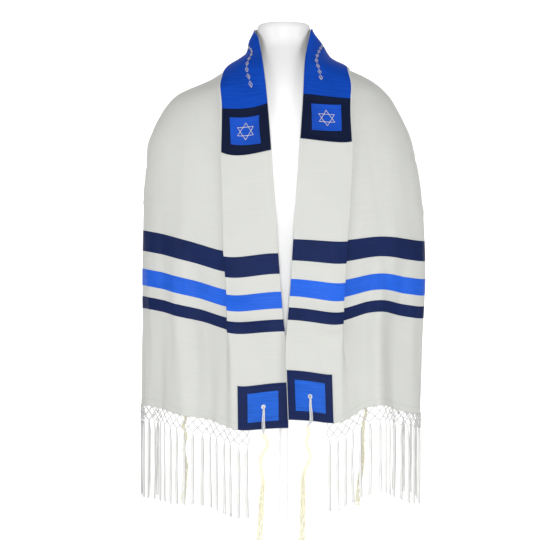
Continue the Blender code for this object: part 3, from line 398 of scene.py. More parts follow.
def fan_control(side):
    """The fan tables with their open cells filled in: stations, turns (radians), drops."""
    stations, turns, drops = [], [], []
    lines = fan_lines(side, FAN_SHOWN)
    back = BACK_AT[side]
    for station in HANG_STATIONS:
        turn, drop = hanging(side, FAN_START + station * (back - FAN_START), lines)
        stations.append(station)
        turns.append(turn)
        drops.append(drop)
    top = hang_drop(side, FAN_START, 0.0)
    for turn_row, drop_row in zip(FAN_TURN, FAN_DROP):
        station = turn_row[0]
        straight = top - station * (back - FAN_START)
        drop = np.array([straight if cell is None else cell for cell in drop_row[1:]])
        turn = np.array([0.0 if cell is None else math.radians(cell) for cell in turn_row[1:]])
        for place, name in enumerate(("edge", "fold")):
            if turn_row[1 + place] is None:
                turn[place] = turn_at(side, front_edge(side, drop[place], name), drop[place])
        stations.append(station)
        turns.append(turn)
        drops.append(drop)
    return np.array(stations), np.array(turns), np.array(drops)


FAN = {side: fan_control(side) for side in SIDES}


def fan_row(side, station):
    """Turns and drops of the fan's lines at a station; the two at the front keep to their table."""
    stations, turns, drops = FAN[side]
    turn, drop = (curve_through(station, stations, values) for values in (turns, drops))
    for line, (name, start, end) in enumerate(FRONT_LEAVES):
        kept = turn_at(side, front_edge(side, drop[line], name), drop[line])
        share = ease(station, 0, FAN_TURN[0][0]) * (1 - ease(station, start, end))
        turn[line] += (kept - turn[line]) * share
    return turn, drop


def base_points(side, t, across, shown, sag):
    """Points of the smooth drape at one distance t along the cloth, lowered by sag."""
    if t <= FAN_START:
        turn, drop = hanging(side, t, across)
    else:
        turns, drops = fan_row(side, (t - FAN_START) / (BACK_AT[side] - FAN_START))
        lines = fan_lines(side, shown)
        turn = curve_through(across, lines, turns)
        drop = curve_through(across, lines, drops)
    return on_ring(side, turn, drop + sag)


def fold_height(side, t, across):
    """How far the soft folds stand out from the smooth drape."""
    height = np.zeros_like(across)
    for name, place, width, tall, full, gone in HANGING_FOLDS:
        if name == side:
            height += tall * (1 - ease(t, full, gone)) * np.exp(-(((across - place) / width) ** 2))
    station = (t - FAN_START) / (BACK_AT[side] - FAN_START)
    along = (across - STRIP) / (FAN_SHOWN - STRIP)
    for place, width, tall, starts in BACK_FOLDS[side]:
        bump = math.exp(-(((station - place) / width) ** 2))
        height += tall * bump * np.clip((along - starts) / (1 - starts), 0, BACK_REACH) ** BACK_GROWTH
    if side == "right":  # this front crosses over the other near the hem
        height += CROSSING * (1 - ease(across, 0, CROSSING_ACROSS)) * (1 - ease(t, *CROSSING_ALONG))
    return height


def pleat_shape(side, t):
    """The pleat's angle in radians, the radius of its turns, and its flat middle."""
    angle, radius, middle = eased_row(PLEATS[side], t)
    return math.radians(min(max(angle, 0.0), 180.0)), max(radius, RADIUS_LEAST), max(middle, 0.0)


def eased_row(table, t):
    """A table's row at t, eased from row to row, so that it never swings past their values."""
    knots = np.array([row[0] for row in table])
    i = int(np.clip(np.searchsorted(knots, t, "right") - 1, 0, len(knots) - 2))
    u = ease(t, knots[i], knots[i + 1])
    low, high = np.array(table[i][1:]), np.array(table[i + 1][1:])
    return low + (high - low) * u


def pleat_run(side, t):
    """Along the pleat: distances across the cloth, on-show distances, heights."""
    angle, radius, middle = pleat_shape(side, t)
    bend = max(radius * angle, BEND_LEAST)
    turn, flat = (np.linspace(0, run, count) for run, count in zip((bend, middle), PLEAT_SAMPLES))
    v = np.unique(np.concatenate([turn, bend + flat, bend + middle + turn]))
    heading = angle * np.clip(np.minimum(v / bend, (2 * bend + middle - v) / bend), 0, 1)
    step = np.diff(v)
    mid = 0.5 * (heading[1:] + heading[:-1])
    shown = np.append(0, np.cumsum(np.cos(mid) * step))
    sunk = np.append(0, np.cumsum(np.sin(mid) * step))
    return STRIP + v, STRIP + shown, sunk[-1] - sunk


def cloth_shape(side, t, v):
    """On-show distances and heights above the smooth drape for the distances v across."""
    run, shown, height = pleat_run(side, t)
    beyond = v > run[-1]
    across = np.where(v < STRIP, v, np.interp(v, run, shown))
    across = np.where(beyond, shown[-1] + v - run[-1], across)
    lift = height[0] * ease(v, *LIFT_ENDS)
    lift = np.where(v < STRIP, lift, np.where(beyond, 0, np.interp(v, run, height)))
    return across, lift, shown[-1] + CLOTH_WIDTH - run[-1]


def fine_points(side, t, v):
    """The cloth's middle with the small relief on it, at the distances v across."""
    v = np.asarray(v, float)
    across, lift, shown = cloth_shape(side, t, v)
    sag = curve_through(t, STRIP_SAGS["along"], STRIP_SAGS[side]) * ease(v, 0.0, STRIP)
    sag = sag * (1 - ease(v, STRIP, STRIP + SAG_FADE))

    def near(along, over):
        return base_points(side, t + along * TINY, across + over * TINY, shown, sag)

    here = near(0, 0)
    normal = np.cross(near(0, 1) - near(0, -1), near(1, 0) - near(-1, 0)) * SIDES[side]
    normal /= np.linalg.norm(normal, axis=-1, keepdims=True)
    height = lift + fold_height(side, t, across) + fine_height(side, t, v, across)
    return here + normal * height[:, None]


# ---------------------------------------------------------------- finer shape of the cloth
CLOTH_HALF = 0.00045  # half of the silk's thickness
HEM_TURN = 0.015  # breadth of a turned hem
HEM_RISE = 0.0006
EDGE_TURN = 0.0045
EDGE_RISE = 0.0003
EDGE_SLOPE = 0.001
STITCH_INSET = 0.0012  # of the hem's stitch line from the turn
GROOVE_DEPTH = 0.0007
GROOVE_HALF = 0.001  # of the groove that the stitches pull
STRIPE_RISE = 0.00035
STRIPE_SLOPE = 0.0008
SQUARE_LOW = 0.0006  # the squares and the collar lie this far out from the cloth's middle
SQUARE_HIGH = 0.0015
CENTRE_LOW = 0.0016
CENTRE_HIGH = 0.0024
HOLES = {  # of each side's front and rear corner: distances along and across
    side: {
        "front": (PATCH_INSET + along / 2, PATCH_INSET + across / 2),
        "rear": (PATCH_INSET + along / 2, CLOTH_WIDTH - PATCH_INSET - across / 2),
    }
    for side, (along, across) in PATCH_SIZES.items()
}
HOLE_SPREAD = 0.0013
HOLE_REACH = 0.012
LEAST = 1e-9
SAME = 1e-5  # distances closer than this are one
MOVED = 1e-6  # a point that a hole moves by more is worked out on its own

RIPPLES = {  # small soft waves of the hanging ends: wavelengths, heights, phases, and slants
    "left": (
        (0.061, 0.0011, 0.4, 2.1),
        (0.037, 0.0007, 2.2, -1.3),
        (0.093, 0.0018, 5.1, 0.8),
        (0.024, 0.0003, 1.0, 3.0),
    ),
    "right": (
        (0.067, 0.0012, 3.3, -1.7),
        (0.041, 0.0007, 0.9, 2.4),
        (0.101, 0.0017, 1.9, -0.6),
        (0.026, 0.0003, 4.2, -2.0),
    ),
}
RIPPLE_GROWS = 0.05  # distance beyond the strip over which the waves reach their full height
RIPPLE_ENDS = (0.22, 0.46)  # distances along between which they fade
RIPPLE_ON_STRIP = 0.22  # share of their height left on the strip
RIPPLE_ABOVE = 0.25  # share left above the hanging ends
CREASES = {  # on the back and shoulder: station, breadth, height, start and end along the width
    "left": (
        (0.12, 0.016, 0.0016, 0.25, 0.8),
        (0.31, 0.018, -0.0024, 0.35, 0.95),
        (0.54, 0.02, 0.0022, 0.3, 0.85),
        (0.6, 0.012, -0.0014, 0.45, 1.1),
        (0.78, 0.016, -0.002, 0.4, 1.0),
        (0.95, 0.014, 0.0016, 0.55, 1.1),
    ),
    "right": (
        (0.1, 0.018, 0.0018, 0.35, 0.9),
        (0.33, 0.014, -0.002, 0.3, 0.85),
        (0.5, 0.018, 0.002, 0.4, 1.0),
        (0.62, 0.016, -0.0018, 0.35, 0.9),
        (0.82, 0.018, -0.0022, 0.5, 1.1),
        (0.93, 0.012, 0.0014, 0.45, 0.95),
    ),
}
CREASE_SLANT = 0.05
CREASE_GROWS = 0.25
CREASE_FADES = 0.1


def band(x, low, high, edge):
    """1 between low and high, 0 outside, over a soft edge."""
    return ease(x, low, low + edge) * (1 - ease(x, high - edge, high))


def fine_height(side, t, v, across):
    """Small relief over the drape: turned hems, stitch grooves, stripes, ripples, creases."""
    height = HEM_RISE * (1 - ease(t, HEM_TURN - HEM_RISE, HEM_TURN))
    height = height - GROOVE_DEPTH * math.exp(-(((t - HEM_TURN + STITCH_INSET) / GROOVE_HALF) ** 2))
    for inwards in (v, CLOTH_WIDTH - v):
        height = height + EDGE_RISE * (1 - ease(inwards, EDGE_TURN - EDGE_SLOPE, EDGE_TURN))
    for name, low, high in STRIPES:
        if name in STRIPE_FINISHES:
            height = height + STRIPE_RISE * band(t, low, high, STRIPE_SLOPE)
    beyond = RIPPLE_ON_STRIP + (1 - RIPPLE_ON_STRIP) * ease(across, STRIP, STRIP + RIPPLE_GROWS)
    hang = 1 + (RIPPLE_ABOVE - 1) * ease(t, *RIPPLE_ENDS)
    for length, tall, phase, slant in RIPPLES[side]:
        wave = np.sin(2 * math.pi * (across / length + slant * t) + phase)
        height = height + tall * beyond * hang * wave
    station = (t - FAN_START) / (BACK_AT[side] - FAN_START)
    along = (across - STRIP) / (FAN_SHOWN - STRIP)
    for place, width, tall, start, end in CREASES[side]:
        drift = station - place - CREASE_SLANT * (along - 0.5)
        grown = ease(along, start, start + CREASE_GROWS)
        left = 1 - ease(along, end - 2 * CREASE_FADES, end + CREASE_FADES)
        height = height + tall * np.exp(-((drift / width) ** 2)) * grown * left
    return height


def near_hole(side, t, v):
    """Distances along and across, moved outwards round the tassel holes."""
    t, v = np.array(t, float), np.array(v, float)
    for along, across in HOLES[side].values():
        away = np.hypot(t - along, v - across)
        push = np.where(away < HOLE_REACH, HOLE_SPREAD * (1 - away / HOLE_REACH), 0)
        push = push / np.maximum(away, LEAST)
        t, v = t + (t - along) * push, v + (v - across) * push
    return t, v


def unit(vectors):
    return vectors / np.linalg.norm(vectors, axis=-1, keepdims=True)


def grid_normals(grid):
    """Unit normals at a grid's points, averaged from the faces round each."""
    normals = np.zeros_like(grid)
    square = np.cross(grid[1:, 1:] - grid[:-1, :-1], grid[1:, :-1] - grid[:-1, 1:])
    for rows in (slice(0, -1), slice(1, None)):
        for columns in (slice(0, -1), slice(1, None)):
            normals[rows, columns] += square
    return unit(normals)


# ---------------------------------------------------------------- materials
SHEEN_SPREAD = 0.4
SILK_NOISES = {  # scale across and along, detail
    "slubs": (13, 460, 3.0),
    "cloud": (9, 9, 4.0),
    "threads": (260, 2100, 1.0),
}
SILK_TONE = {"slubs": 0.55, "cloud": 0.45}  # weights in its tone and in its relief
SILK_RELIEF = {"warp": 0.5, "weft": 0.5, "slubs": 1.6, "threads": 0.8}
SILK_STOPS = (0.38, 0.51, 0.64)
SLUB_DARKER = 0.08
SLUB_LIGHTER = 0.06
THREADS = 330.0  # scale of the weave's waves
RIBS = 210.0  # the same across the ribbed silks
WEAVE_WAVER = 0.6
SILK_BUMP = (0.35, 0.00025)  # strength, distance
YARN_GROOVE_SHADE_STOPS = ((0.15, 0.8), (0.55, 1.0), (0.9, 1.06))  # place, how much lighter: painted shade in the plies' grooves and painted light on their crests, mixed with the fuzz's random tone
YARN_BUMP = (0.6, 0.0003)
YARN_WEIGHTS = {"plies": 0.6, "fuzz": 0.4}
YARN_STRETCH = 0.5  # round the yarn, which slants the plies
FUZZ = (6, 900)
MOTTLE = ((0.3, 0.97), (0.7, 1.0))
SMOOTHER = 0.06
FINE_GRAIN = 40
SPECK_DEPTH = 0.0002
ROUGH_SPREAD = 0.08


def srgb(red, green, blue):
    """A colour given as 0 to 255, as the shaders want it."""
    made = []
    for part in (red, green, blue):
        share = part / 255
        made.append(share / 12.92 if share <= 0.04045 else ((share + 0.055) / 1.055) ** 2.4)
    return (*made, 1)


def shade(colour, by):
    """A colour made lighter or darker."""
    return (*(min(1.0, part * by) for part in colour[:3]), 1)


class Finish:
    """A material, whose nodes are added one at a time."""

    def __init__(self, name, roughness, sheen=0.0, specular=0.5):
        self.material = bpy.data.materials.new(name)
        self.material.use_nodes = True
        self.tree = self.material.node_tree
        self.shader = self.tree.nodes["Principled BSDF"]
        self.fill(self.shader, Roughness=roughness, Specular_IOR_Level=specular)
        self.fill(self.shader, Sheen_Weight=sheen, Sheen_Roughness=SHEEN_SPREAD)

    def put(self, value, socket):
        """Links an output to an input, or sets the input's value."""
        if isinstance(value, bpy.types.NodeSocket):
            self.tree.links.new(value, socket)
        else:
            socket.default_value = value

    def fill(self, node, **inputs):
        for name, value in inputs.items():
            self.put(value, node.inputs[name.replace("_", " ")])
        return node

    def add(self, kind, settings=(), **inputs):
        node = self.tree.nodes.new("ShaderNode" + kind)
        for name, value in dict(settings).items():
            setattr(node, name, value)
        return self.fill(node, **inputs)

    def maths(self, operation, first, second, kind="Math"):
        node = self.add(kind, {"operation": operation})
        for socket, value in zip(node.inputs, (first, second)):
            self.put(value, socket)
        return node.outputs[0]

    def total(self, outputs, weights):
        """The sum of named outputs, each times its weight."""
        first, *others = (self.maths("MULTIPLY", outputs[name], by) for name, by in weights.items())
        for other in others:
            first = self.maths("ADD", first, other)
        return first

    def cloth_place(self, across, along):
        """Metres across and along the cloth, each times a scale."""
        place = self.add("UVMap", {"uv_map": "cloth"})
        return self.add("Mapping", Vector=place.outputs[0], Scale=(across, along, 1)).outputs[0]

    def noise(self, place, detail, scale=1.0):
        return self.add("TexNoise", Vector=place, Scale=scale, Detail=detail).outputs[0]

    def waves(self, place, scale, direction, waver=0.0):
        settings = {"wave_type": "BANDS", "bands_direction": direction}
        node = self.add("TexWave", settings, Vector=place, Scale=scale, Distortion=waver)
        return node.outputs["Fac"]

    def ramp(self, value, stops):
        """Colours by value, from (place, colour) stops."""
        node = self.add("ValToRGB", Fac=value)
        marks = node.color_ramp.elements
        while len(marks) < len(stops):
            marks.new(0.5)
        for mark, stop in zip(marks, stops):
            mark.position, mark.color = stop
        return node.outputs[0]

    def colour(self, output):
        self.put(output, self.shader.inputs["Base Color"])

    def bump(self, height, strength, distance):
        node = self.add("Bump", Height=height, Strength=strength, Distance=distance)
        self.put(node.outputs[0], self.shader.inputs["Normal"])

    def rough(self, value, low, high):
        node = self.add("MapRange", Value=value, To_Min=low, To_Max=high)
        self.put(node.outputs[0], self.shader.inputs["Roughness"])


def silk(name, colour, sheen, roughness, specular, slub, across=RIBS):
    """Plain-woven silk: fine threads both ways, and uneven thicker ones across."""
    made = Finish(name, roughness, sheen, specular)
    place = made.cloth_place(1, 1)
    outputs = {"warp": made.waves(place, across, "X")}
    outputs["weft"] = made.waves(place, THREADS, "Y", WEAVE_WAVER)
    for part, (wide, long, detail) in SILK_NOISES.items():
        outputs[part] = made.noise(made.cloth_place(wide, long), detail)
    tones = (1 - SLUB_DARKER * slub, 1, 1 + SLUB_LIGHTER * slub)
    stops = [(at, shade(colour, tone)) for at, tone in zip(SILK_STOPS, tones)]
    made.colour(made.ramp(made.total(outputs, SILK_TONE), stops))
    made.bump(made.total(outputs, SILK_RELIEF), *SILK_BUMP)
    made.rough(outputs["cloud"], roughness - ROUGH_SPREAD, roughness + ROUGH_SPREAD)
    return made.material


def yarn(name, colour, turns, roughness, sheen=0.2, specular=0.4):
    """Twisted yarn: slanting plies round the strand with painted shade in their grooves, and a little
    fuzz.
    """
    made = Finish(name, roughness, sheen, specular)
    outputs = {"plies": made.waves(made.cloth_place(YARN_STRETCH, turns), 1.0, "DIAGONAL")}
    outputs["fuzz"] = made.noise(made.cloth_place(*FUZZ), 3.0)
    tone = made.total(outputs, YARN_WEIGHTS)
    made.colour(made.ramp(tone, [(at, shade(colour, lighter)) for at, lighter in YARN_GROOVE_SHADE_STOPS]))
    made.bump(tone, *YARN_BUMP)
    return made.material


def enamel(name, colour, roughness, grain, speck, painted_shade=None):
    """A smooth moulded or painted surface with a faint unevenness; where asked, painted shade makes it
    greyer from a height up.
    """
    made = Finish(name, roughness)
    place = made.add("TexCoord").outputs["Object"]
    mottle = made.noise(place, 4.0, grain)
    tint = made.ramp(mottle, [(at, shade(colour, lighter)) for at, lighter in MOTTLE])
    # painted shade: the colour grows darker from the lower height to the upper one
    if painted_shade is not None:
        low, high, by = painted_shade
        height = made.add("SeparateXYZ", Vector=place).outputs["Z"]
        share = made.add("MapRange", Value=height, From_Min=low, From_Max=high).outputs[0]
        painted_shade_ramp = made.ramp(share, [(0.0, (1, 1, 1, 1)), (1.0, (by, by, by, 1))])
        tint = made.maths("MULTIPLY", tint, painted_shade_ramp, "VectorMath")
    made.colour(tint)
    made.rough(mottle, roughness - SMOOTHER, roughness + ROUGH_SPREAD)
    made.bump(made.noise(place, 2.0, grain * FINE_GRAIN), speck, SPECK_DEPTH)
    return made.material


# A silk's name, colour, sheen, roughness, specular level and slubs; a yarn's name, colour, plies and
# roughness; a smooth surface's name, colour, roughness, grain, specks and painted shade by height.
IVORY = silk("ivory_silk_weave", srgb(179, 180, 176), 0.1, 0.62, 0.25, 0.35, THREADS)
NAVY = silk("navy_silk_weave", srgb(15, 29, 69), 0.0, 0.5, 0.07, 2.4)
BLUE = silk("blue_silk_weave", srgb(26, 83, 188), 0.0, 0.46, 0.1, 2.0)
COLLAR_BLUE = silk("collar_blue_weave", srgb(14, 60, 154), 0.0, 0.52, 0.02, 3.0)
STAR_BLUE = silk("star_square_blue_weave", srgb(15, 64, 160), 0.0, 0.48, 0.08, 2.4)
CORNER_BLUE = silk("corner_blue_weave", srgb(25, 82, 178), 0.0, 0.48, 0.08, 3.2)
DARK_NAVY = silk("dark_navy_weave", srgb(7, 17, 42), 0.0, 0.5, 0.06, 2.0)
FRINGE = yarn("fringe_yarn_twist", srgb(228, 228, 226), 700.0, 0.78)
# The greyer yarn is painted shadow: it draws thin shadow lines beside the fringe's bundles and net arms.
FRINGE_PAINTED_SHADOW = yarn("fringe_yarn_painted_shadow", srgb(166, 166, 166), 700.0, 0.85)
CORD = yarn("tassel_cord_twist", srgb(226, 223, 197), 420.0, 0.85)
LOOP = yarn("tassel_loop_silver", srgb(190, 192, 194), 420.0, 0.6)
STITCH = yarn("sewing_thread", srgb(150, 151, 147), 900.0, 0.6)
NAVY_STITCH = yarn("navy_sewing_thread", srgb(20, 34, 78), 900.0, 0.6, 0.0, 0.2)
PALE_STITCH = yarn("pale_embroidery", srgb(224, 216, 180), 900.0, 0.5)
EYELET_WHITE = yarn("eyelet_embroidery", srgb(204, 206, 209), 900.0, 0.5)
# The form's white is painted greyer from 1.18 m up, to 0.64 of it from 1.42 m: painted shade, darker
# towards the neck.
FORM_WHITE = enamel("form_white_smooth", srgb(249, 249, 249), 0.42, 6.0, 0.05, (1.18, 1.42, 0.64))
STAND_WHITE = enamel("stand_white_enamel", srgb(235, 235, 236), 0.28, 9.0, 0.03)


# ---------------------------------------------------------------- making pieces
def add_object(name, data):
    made = bpy.data.objects.new(name, data)
    bpy.context.scene.collection.objects.link(made)
    return made


def add_piece(name, points, faces, finishes, parts=(), uvs=None, used=None, sharp=None):
    """A piece of the object: its mesh, its finishes, and the solids it stands for."""
    mesh = bpy.data.meshes.new(name)
    faces = [tuple(map(int, face)) for face in faces]
    mesh.from_pydata(np.asarray(points, float).tolist(), [], faces)
    for finish in finishes:
        mesh.materials.append(finish)
    if uvs is not None:
        layer = mesh.uv_layers.new(name="cloth")
        loops = np.empty(len(mesh.loops), np.int32)
        mesh.loops.foreach_get("vertex_index", loops)
        layer.data.foreach_set("uv", np.asarray(uvs, float)[loops].ravel())
    if used is not None:
        mesh.polygons.foreach_set("material_index", np.asarray(used, np.int32))
    mesh.shade_smooth()
    piece = add_object(name, mesh)
    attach(piece, "root")
    if parts:
        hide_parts(*parts)
    if sharp is not None:
        mesh.set_sharp_from_angle(angle=math.radians(sharp))
    return piece


def wall_faces(rows, columns, missing):
    """Faces of a two-layer wall over a grid without the missing points, and its cells' rows."""
    index = np.arange(rows * columns).reshape(rows, columns)
    corners = index[:-1, :-1], index[:-1, 1:], index[1:, 1:], index[1:, :-1]
    quads = np.stack(corners, -1).reshape(-1, 4)
    kept = ~np.isin(quads, [index[place] for place in missing]).any(axis=1)
    row_of = np.repeat(np.arange(rows - 1), columns - 1)[kept]
    inner = quads[kept].tolist()
    edges = dict.fromkeys(edge for quad in inner for edge in zip(quad, quad[1:] + quad[:1]))
    outer = [[corner + index.size for corner in quad] for quad in inner]
    rim = [
        (here, after, after + index.size, here + index.size)
        for here, after in edges
        if (after, here) not in edges
    ]
    return [quad[::-1] for quad in inner] + outer + rim, row_of


def wall(node, surface, heights, finishes, row_finish=None, missing=(), parts=()):
    """A thin wall over (grid, normals, texture places), between two heights over the grid."""
    grid, normals, uvs = surface
    faces, row_of = wall_faces(*grid.shape[:2], missing)
    used = np.zeros(len(faces), int)
    if row_finish is not None:
        used[: 2 * len(row_of)] = np.tile(np.array(row_finish)[row_of], 2)
    points = np.concatenate([(grid + normals * height).reshape(-1, 3) for height in heights])
    both = np.tile(uvs.reshape(-1, 2), (2, 1))
    stands_for = parts or [node]
    name = node + "_cloth"
    return add_piece(name, points, faces, finishes, stands_for, both, used, sharp=60)


ODD_WAY = (0.31, 0.83, 0.46)  # a direction that no strand runs in


def tubes(paths, radii, sides):
    """Points, faces and texture places of round strands along paths of equal counts."""
    paths = np.asarray(paths, float)
    strands, count = paths.shape[:2]
    radii = np.broadcast_to(np.asarray(radii, float), (strands, count))
    ahead = unit(np.gradient(paths, axis=1))
    side = np.cross(ahead[:, 0], ODD_WAY)
    frames = []
    for i in range(count):
        side = unit(side - ahead[:, i] * np.sum(side * ahead[:, i], axis=1, keepdims=True))
        frames.append(side)
    first = np.stack(frames, 1)[:, :, None]
    second = np.cross(ahead[:, :, None], first)
    turns = 2 * math.pi * np.arange(sides)[None, None, :, None] / sides
    ring = np.cos(turns) * first + np.sin(turns) * second
    points = paths[:, :, None] + radii[:, :, None, None] * ring
    steps = np.linalg.norm(np.diff(paths, axis=1), axis=2)
    length = np.concatenate([np.zeros((strands, 1)), np.cumsum(steps, axis=1)], 1)
    places = np.empty((strands, count, sides, 2))
    places[..., 0] = np.arange(sides) / sides
    places[..., 1] = length[:, :, None]
    index = np.arange(strands * count * sides).reshape(strands, count, sides)
    after = np.roll(index, -1, axis=2)
    quads = np.stack([index[:, :-1], after[:, :-1], after[:, 1:], index[:, 1:]], -1).reshape(-1, 4)
    faces = quads.tolist() + index[:, 0, ::-1].tolist() + index[:, -1].tolist()
    return points.reshape(-1, 3), faces, places.reshape(-1, 2)


def strand_piece(name, groups, finishes, parts=(), second=0):
    """One piece of several runs of tubes, the first few of them in the second finish."""
    faces, used, start = [], [], 0
    for number, (points, those, _) in enumerate(groups):
        faces += [[corner + start for corner in face] for face in those]
        used += [int(number < second)] * len(those)
        start += len(points)
    points, uvs = (np.concatenate([group[part] for group in groups]) for part in (0, 2))
    return add_piece(name, points, faces, finishes, parts, uvs, used)


# ---------------------------------------------------------------- the shawl
HEM_ROWS = (0, 0.0012, 0.003, 0.006, 0.009, 0.0115, 0.0128, 0.0138, 0.0146, 0.0155, 0.018)
EDGE_LINES = (0, 0.0012, 0.0036, 0.0048, 0.008)
HOLE_LINES = 0.0028 * np.arange(-2, 3)  # close lines round a hole's middle
HOLE_CLEAR = 0.0035  # from those to the next
STRIPE_LINES = (0.0002, 0.0012, 0.004)  # inside a stripe's edges
END_ROW = 0.0225  # first row beyond the hem's close ones
END_STEPS = (0.006, 0.007, 0.006, 0.0072)  # below the hole, above it, in stripes, in the centre
END_LAST = 0.1965
NEAR_FIRST = 0.012
NEAR_COUNTS = (7, 11)  # columns from the edge to the hole, and from there to the pleat
PLEAT_CLEAR = 0.004
PLEAT_COLUMNS = 7  # round each of its turns
FLAT_COLUMNS = 5
OUTER_COLUMNS = 58


def steps(low, high, size):
    return np.linspace(low, high, max(1, round((high - low) / size)) + 1)


def joined(*runs):
    """Distances from several runs, without doubles."""
    every = np.sort(np.concatenate(runs))
    return every[np.append(True, np.diff(every) > SAME)]


def row_lengths(side):
    """Distances along of the cloth's rows: close at the hem, the hole and the stripes' edges."""
    below, above, striped, centre = END_STEPS
    hole = HOLES[side]["front"][0] + HOLE_LINES
    runs = [HEM_ROWS, steps(END_ROW, hole[0] - HOLE_CLEAR, below), hole]
    runs.append(steps(hole[-1] + HOLE_CLEAR, END_LAST, above))
    fine, next_one, inside = STRIPE_LINES
    for _, low, high in STRIPES[1:]:
        runs.append((low + fine, low + next_one, high - next_one, high - fine))
        runs.append(steps(low + inside, high - inside, striped))
    runs.append(steps(CENTRE_START + striped, BACK_AT[side], centre))
    return joined(*runs)


def column_lines(side, t):
    """Distances across for one row, as many in every row."""
    angle, radius, middle = pleat_shape(side, t)
    bend = max(radius * angle, PLEAT_LEAST)
    hole = HOLES[side]["front"][1] + HOLE_LINES
    first, second = NEAR_COUNTS
    near = [EDGE_LINES, np.linspace(NEAR_FIRST, hole[0] - HOLE_CLEAR, first), hole]
    near.append(np.linspace(hole[-1] + HOLE_CLEAR, STRIP - PLEAT_CLEAR, second))
    near = np.concatenate(near)
    turn = STRIP + bend * np.linspace(0, 1, PLEAT_COLUMNS)
    back = turn + bend + max(middle, PLEAT_LEAST)
    flat = np.linspace(turn[-1], back[0], FLAT_COLUMNS)[1:-1]
    far = CLOTH_WIDTH - near[::-1]
    outer = np.linspace(back[-1], far[0], OUTER_COLUMNS)[1:-1]
    return np.concatenate([near, turn, flat, back, outer, far])


def fine_row(side, t, v):
    """One row of the cloth, opened out round the tassel holes."""
    if t > HOLES[side]["front"][0] + HOLE_REACH:
        return fine_points(side, t, v)
    moved_t, moved_v = near_hole(side, np.full(len(v), t), v)
    row = fine_points(side, t, moved_v)
    for place in np.flatnonzero(np.abs(moved_t - t) > MOVED):
        row[place] = fine_points(side, moved_t[place], moved_v[place : place + 1])[0]
    return row


def read_off(at, knots, values):
    """Rows of values at the places `at`, straight between the knots."""
    return np.stack([np.interp(at, knots, line) for line in np.asarray(values).T], -1)


class Drape:
    """One half of the shawl's middle surface, and places on it by distance along and across."""

    def __init__(self, side):
        self.lengths = row_lengths(side)
        self.lines = np.array([column_lines(side, t) for t in self.lengths])
        self.grid = np.array([fine_row(side, t, v) for t, v in zip(self.lengths, self.lines)])
        self.both = np.concatenate([self.grid, grid_normals(self.grid) * SIDES[side]], -1)

    def row(self, t, v):
        """Points and normals of a row at a distance along."""
        i = int(np.clip(np.searchsorted(self.lengths, t, "right") - 1, 0, len(self.lengths) - 2))
        share = (t - self.lengths[i]) / (self.lengths[i + 1] - self.lengths[i])
        below, above = (read_off(v, self.lines[k], self.both[k]) for k in (i, i + 1))
        made = (1 - share) * below + share * above
        return made[..., :3], made[..., 3:]

    def point(self, t, v, rise=0.0):
        """A point at a height over the outer side."""
        place, normal = self.row(t, v)
        return place + unit(normal) * rise

    def patch(self, lengths, lines):
        """Points, outward normals and texture places of a piece lying on the cloth."""
        rows = [self.row(t, lines) for t in lengths]
        grid, normals = (np.array([row[part] for row in rows]) for part in range(2))
        return grid, unit(normals), np.stack(np.meshgrid(lines, lengths), -1)


DRAPES = {side: Drape(side) for side in SIDES}


def whole_length(grids, places):
    """Both halves' points and texture places as one surface, from hem to hem, and its normals."""
    place = places["right"].copy()
    place[..., 1] = CLOTH_LENGTH - place[..., 1]
    grid = np.concatenate([grids["left"], grids["right"][-2::-1]])
    return grid, -grid_normals(grid), np.concatenate([places["left"], place[-2::-1]])


def row_finishes(lengths):
    """The finish of each row of cells: a stripe's, or ivory."""
    middles = 0.5 * (lengths[1:] + lengths[:-1])
    names = [next((name for name, low, high in STRIPES if low <= t < high), None) for t in middles]
    return [STRIPE_FINISHES.get(name, 0) for name in names]


def make_shawl():
    """The whole cloth from hem to hem, open at the four tassel holes."""
    grids, places, finish, holes = {}, {}, [], []
    for side, drape in DRAPES.items():
        lengths, lines = drape.lengths, drape.lines
        row = np.argmin(np.abs(lengths - HOLES[side]["front"][0]))
        middles = [np.argmin(np.abs(lines[0] - v)) for _, v in HOLES[side].values()]
        holes += [(row if side == "left" else -1 - row, j) for j in middles]
        grids[side] = drape.grid
        places[side] = np.stack([lines, np.repeat(lengths[:, None], lines.shape[1], 1)], -1)
        finish += row_finishes(lengths)[:: -SIDES[side]]
    parts = ["centre_panel"] + [f"{name}_{side}" for side in SIDES for name, _, _ in STRIPES]
    surface, heights = whole_length(grids, places), (-CLOTH_HALF, CLOTH_HALF)
    return wall("shawl", surface, heights, [IVORY, NAVY, BLUE], finish, holes, parts)


# ---------------------------------------------------------------- squares and collar
COLLAR_SPAN = (COLLAR_INSET, COLLAR_INSET + COLLAR_WIDTH)
CENTRE_CORNERS = {  # how a star square's blue centre lies: its corners from the square's middle
    "left": ((-0.03, -0.033), (-0.024, 0.031), (0.029, -0.024), (0.032, 0.04)),
    "right": ((-0.026, -0.033), (-0.02, 0.027), (0.027, -0.032), (0.032, 0.034)),
}
CENTRE_LINES = joined(np.linspace(-1, 1, 13), (-0.95, -0.87, 0.87, 0.95))
CENTRE_HALF = 0.03  # half-size of a blue centre
STAR_REACH = {"left": (0.61, 0.63), "right": (0.59, 0.61)}  # shares of the centre's half-sizes
STAR_RISE = 0.0002  # of its threads' middles over the silk
OUTLINE_RADIUS = 0.00038  # of the threads of a star and of a lozenge
STAR_STEP = 0.0015
CHAIN_STEP = 0.0018
CHAIN_START = 0.04  # beyond the star square
CHAIN_END = 0.004
CHAIN_RISE = 0.0003
LOZENGE_STEP = 0.014
LOZENGES = (  # corners along and across the band, radius: the outline and the bar inside it
    (((-0.0055, 0), (0, 0.0045), (0.0055, 0), (0, -0.0045), (-0.0055, 0)), OUTLINE_RADIUS),
    (((-0.0012, 0), (0.0012, 0)), 0.0005),
)
MARGIN_LINES = np.array((0, 0.0015, 0.004, 0.005))
MARGIN = 0.004  # breadth of a turned margin
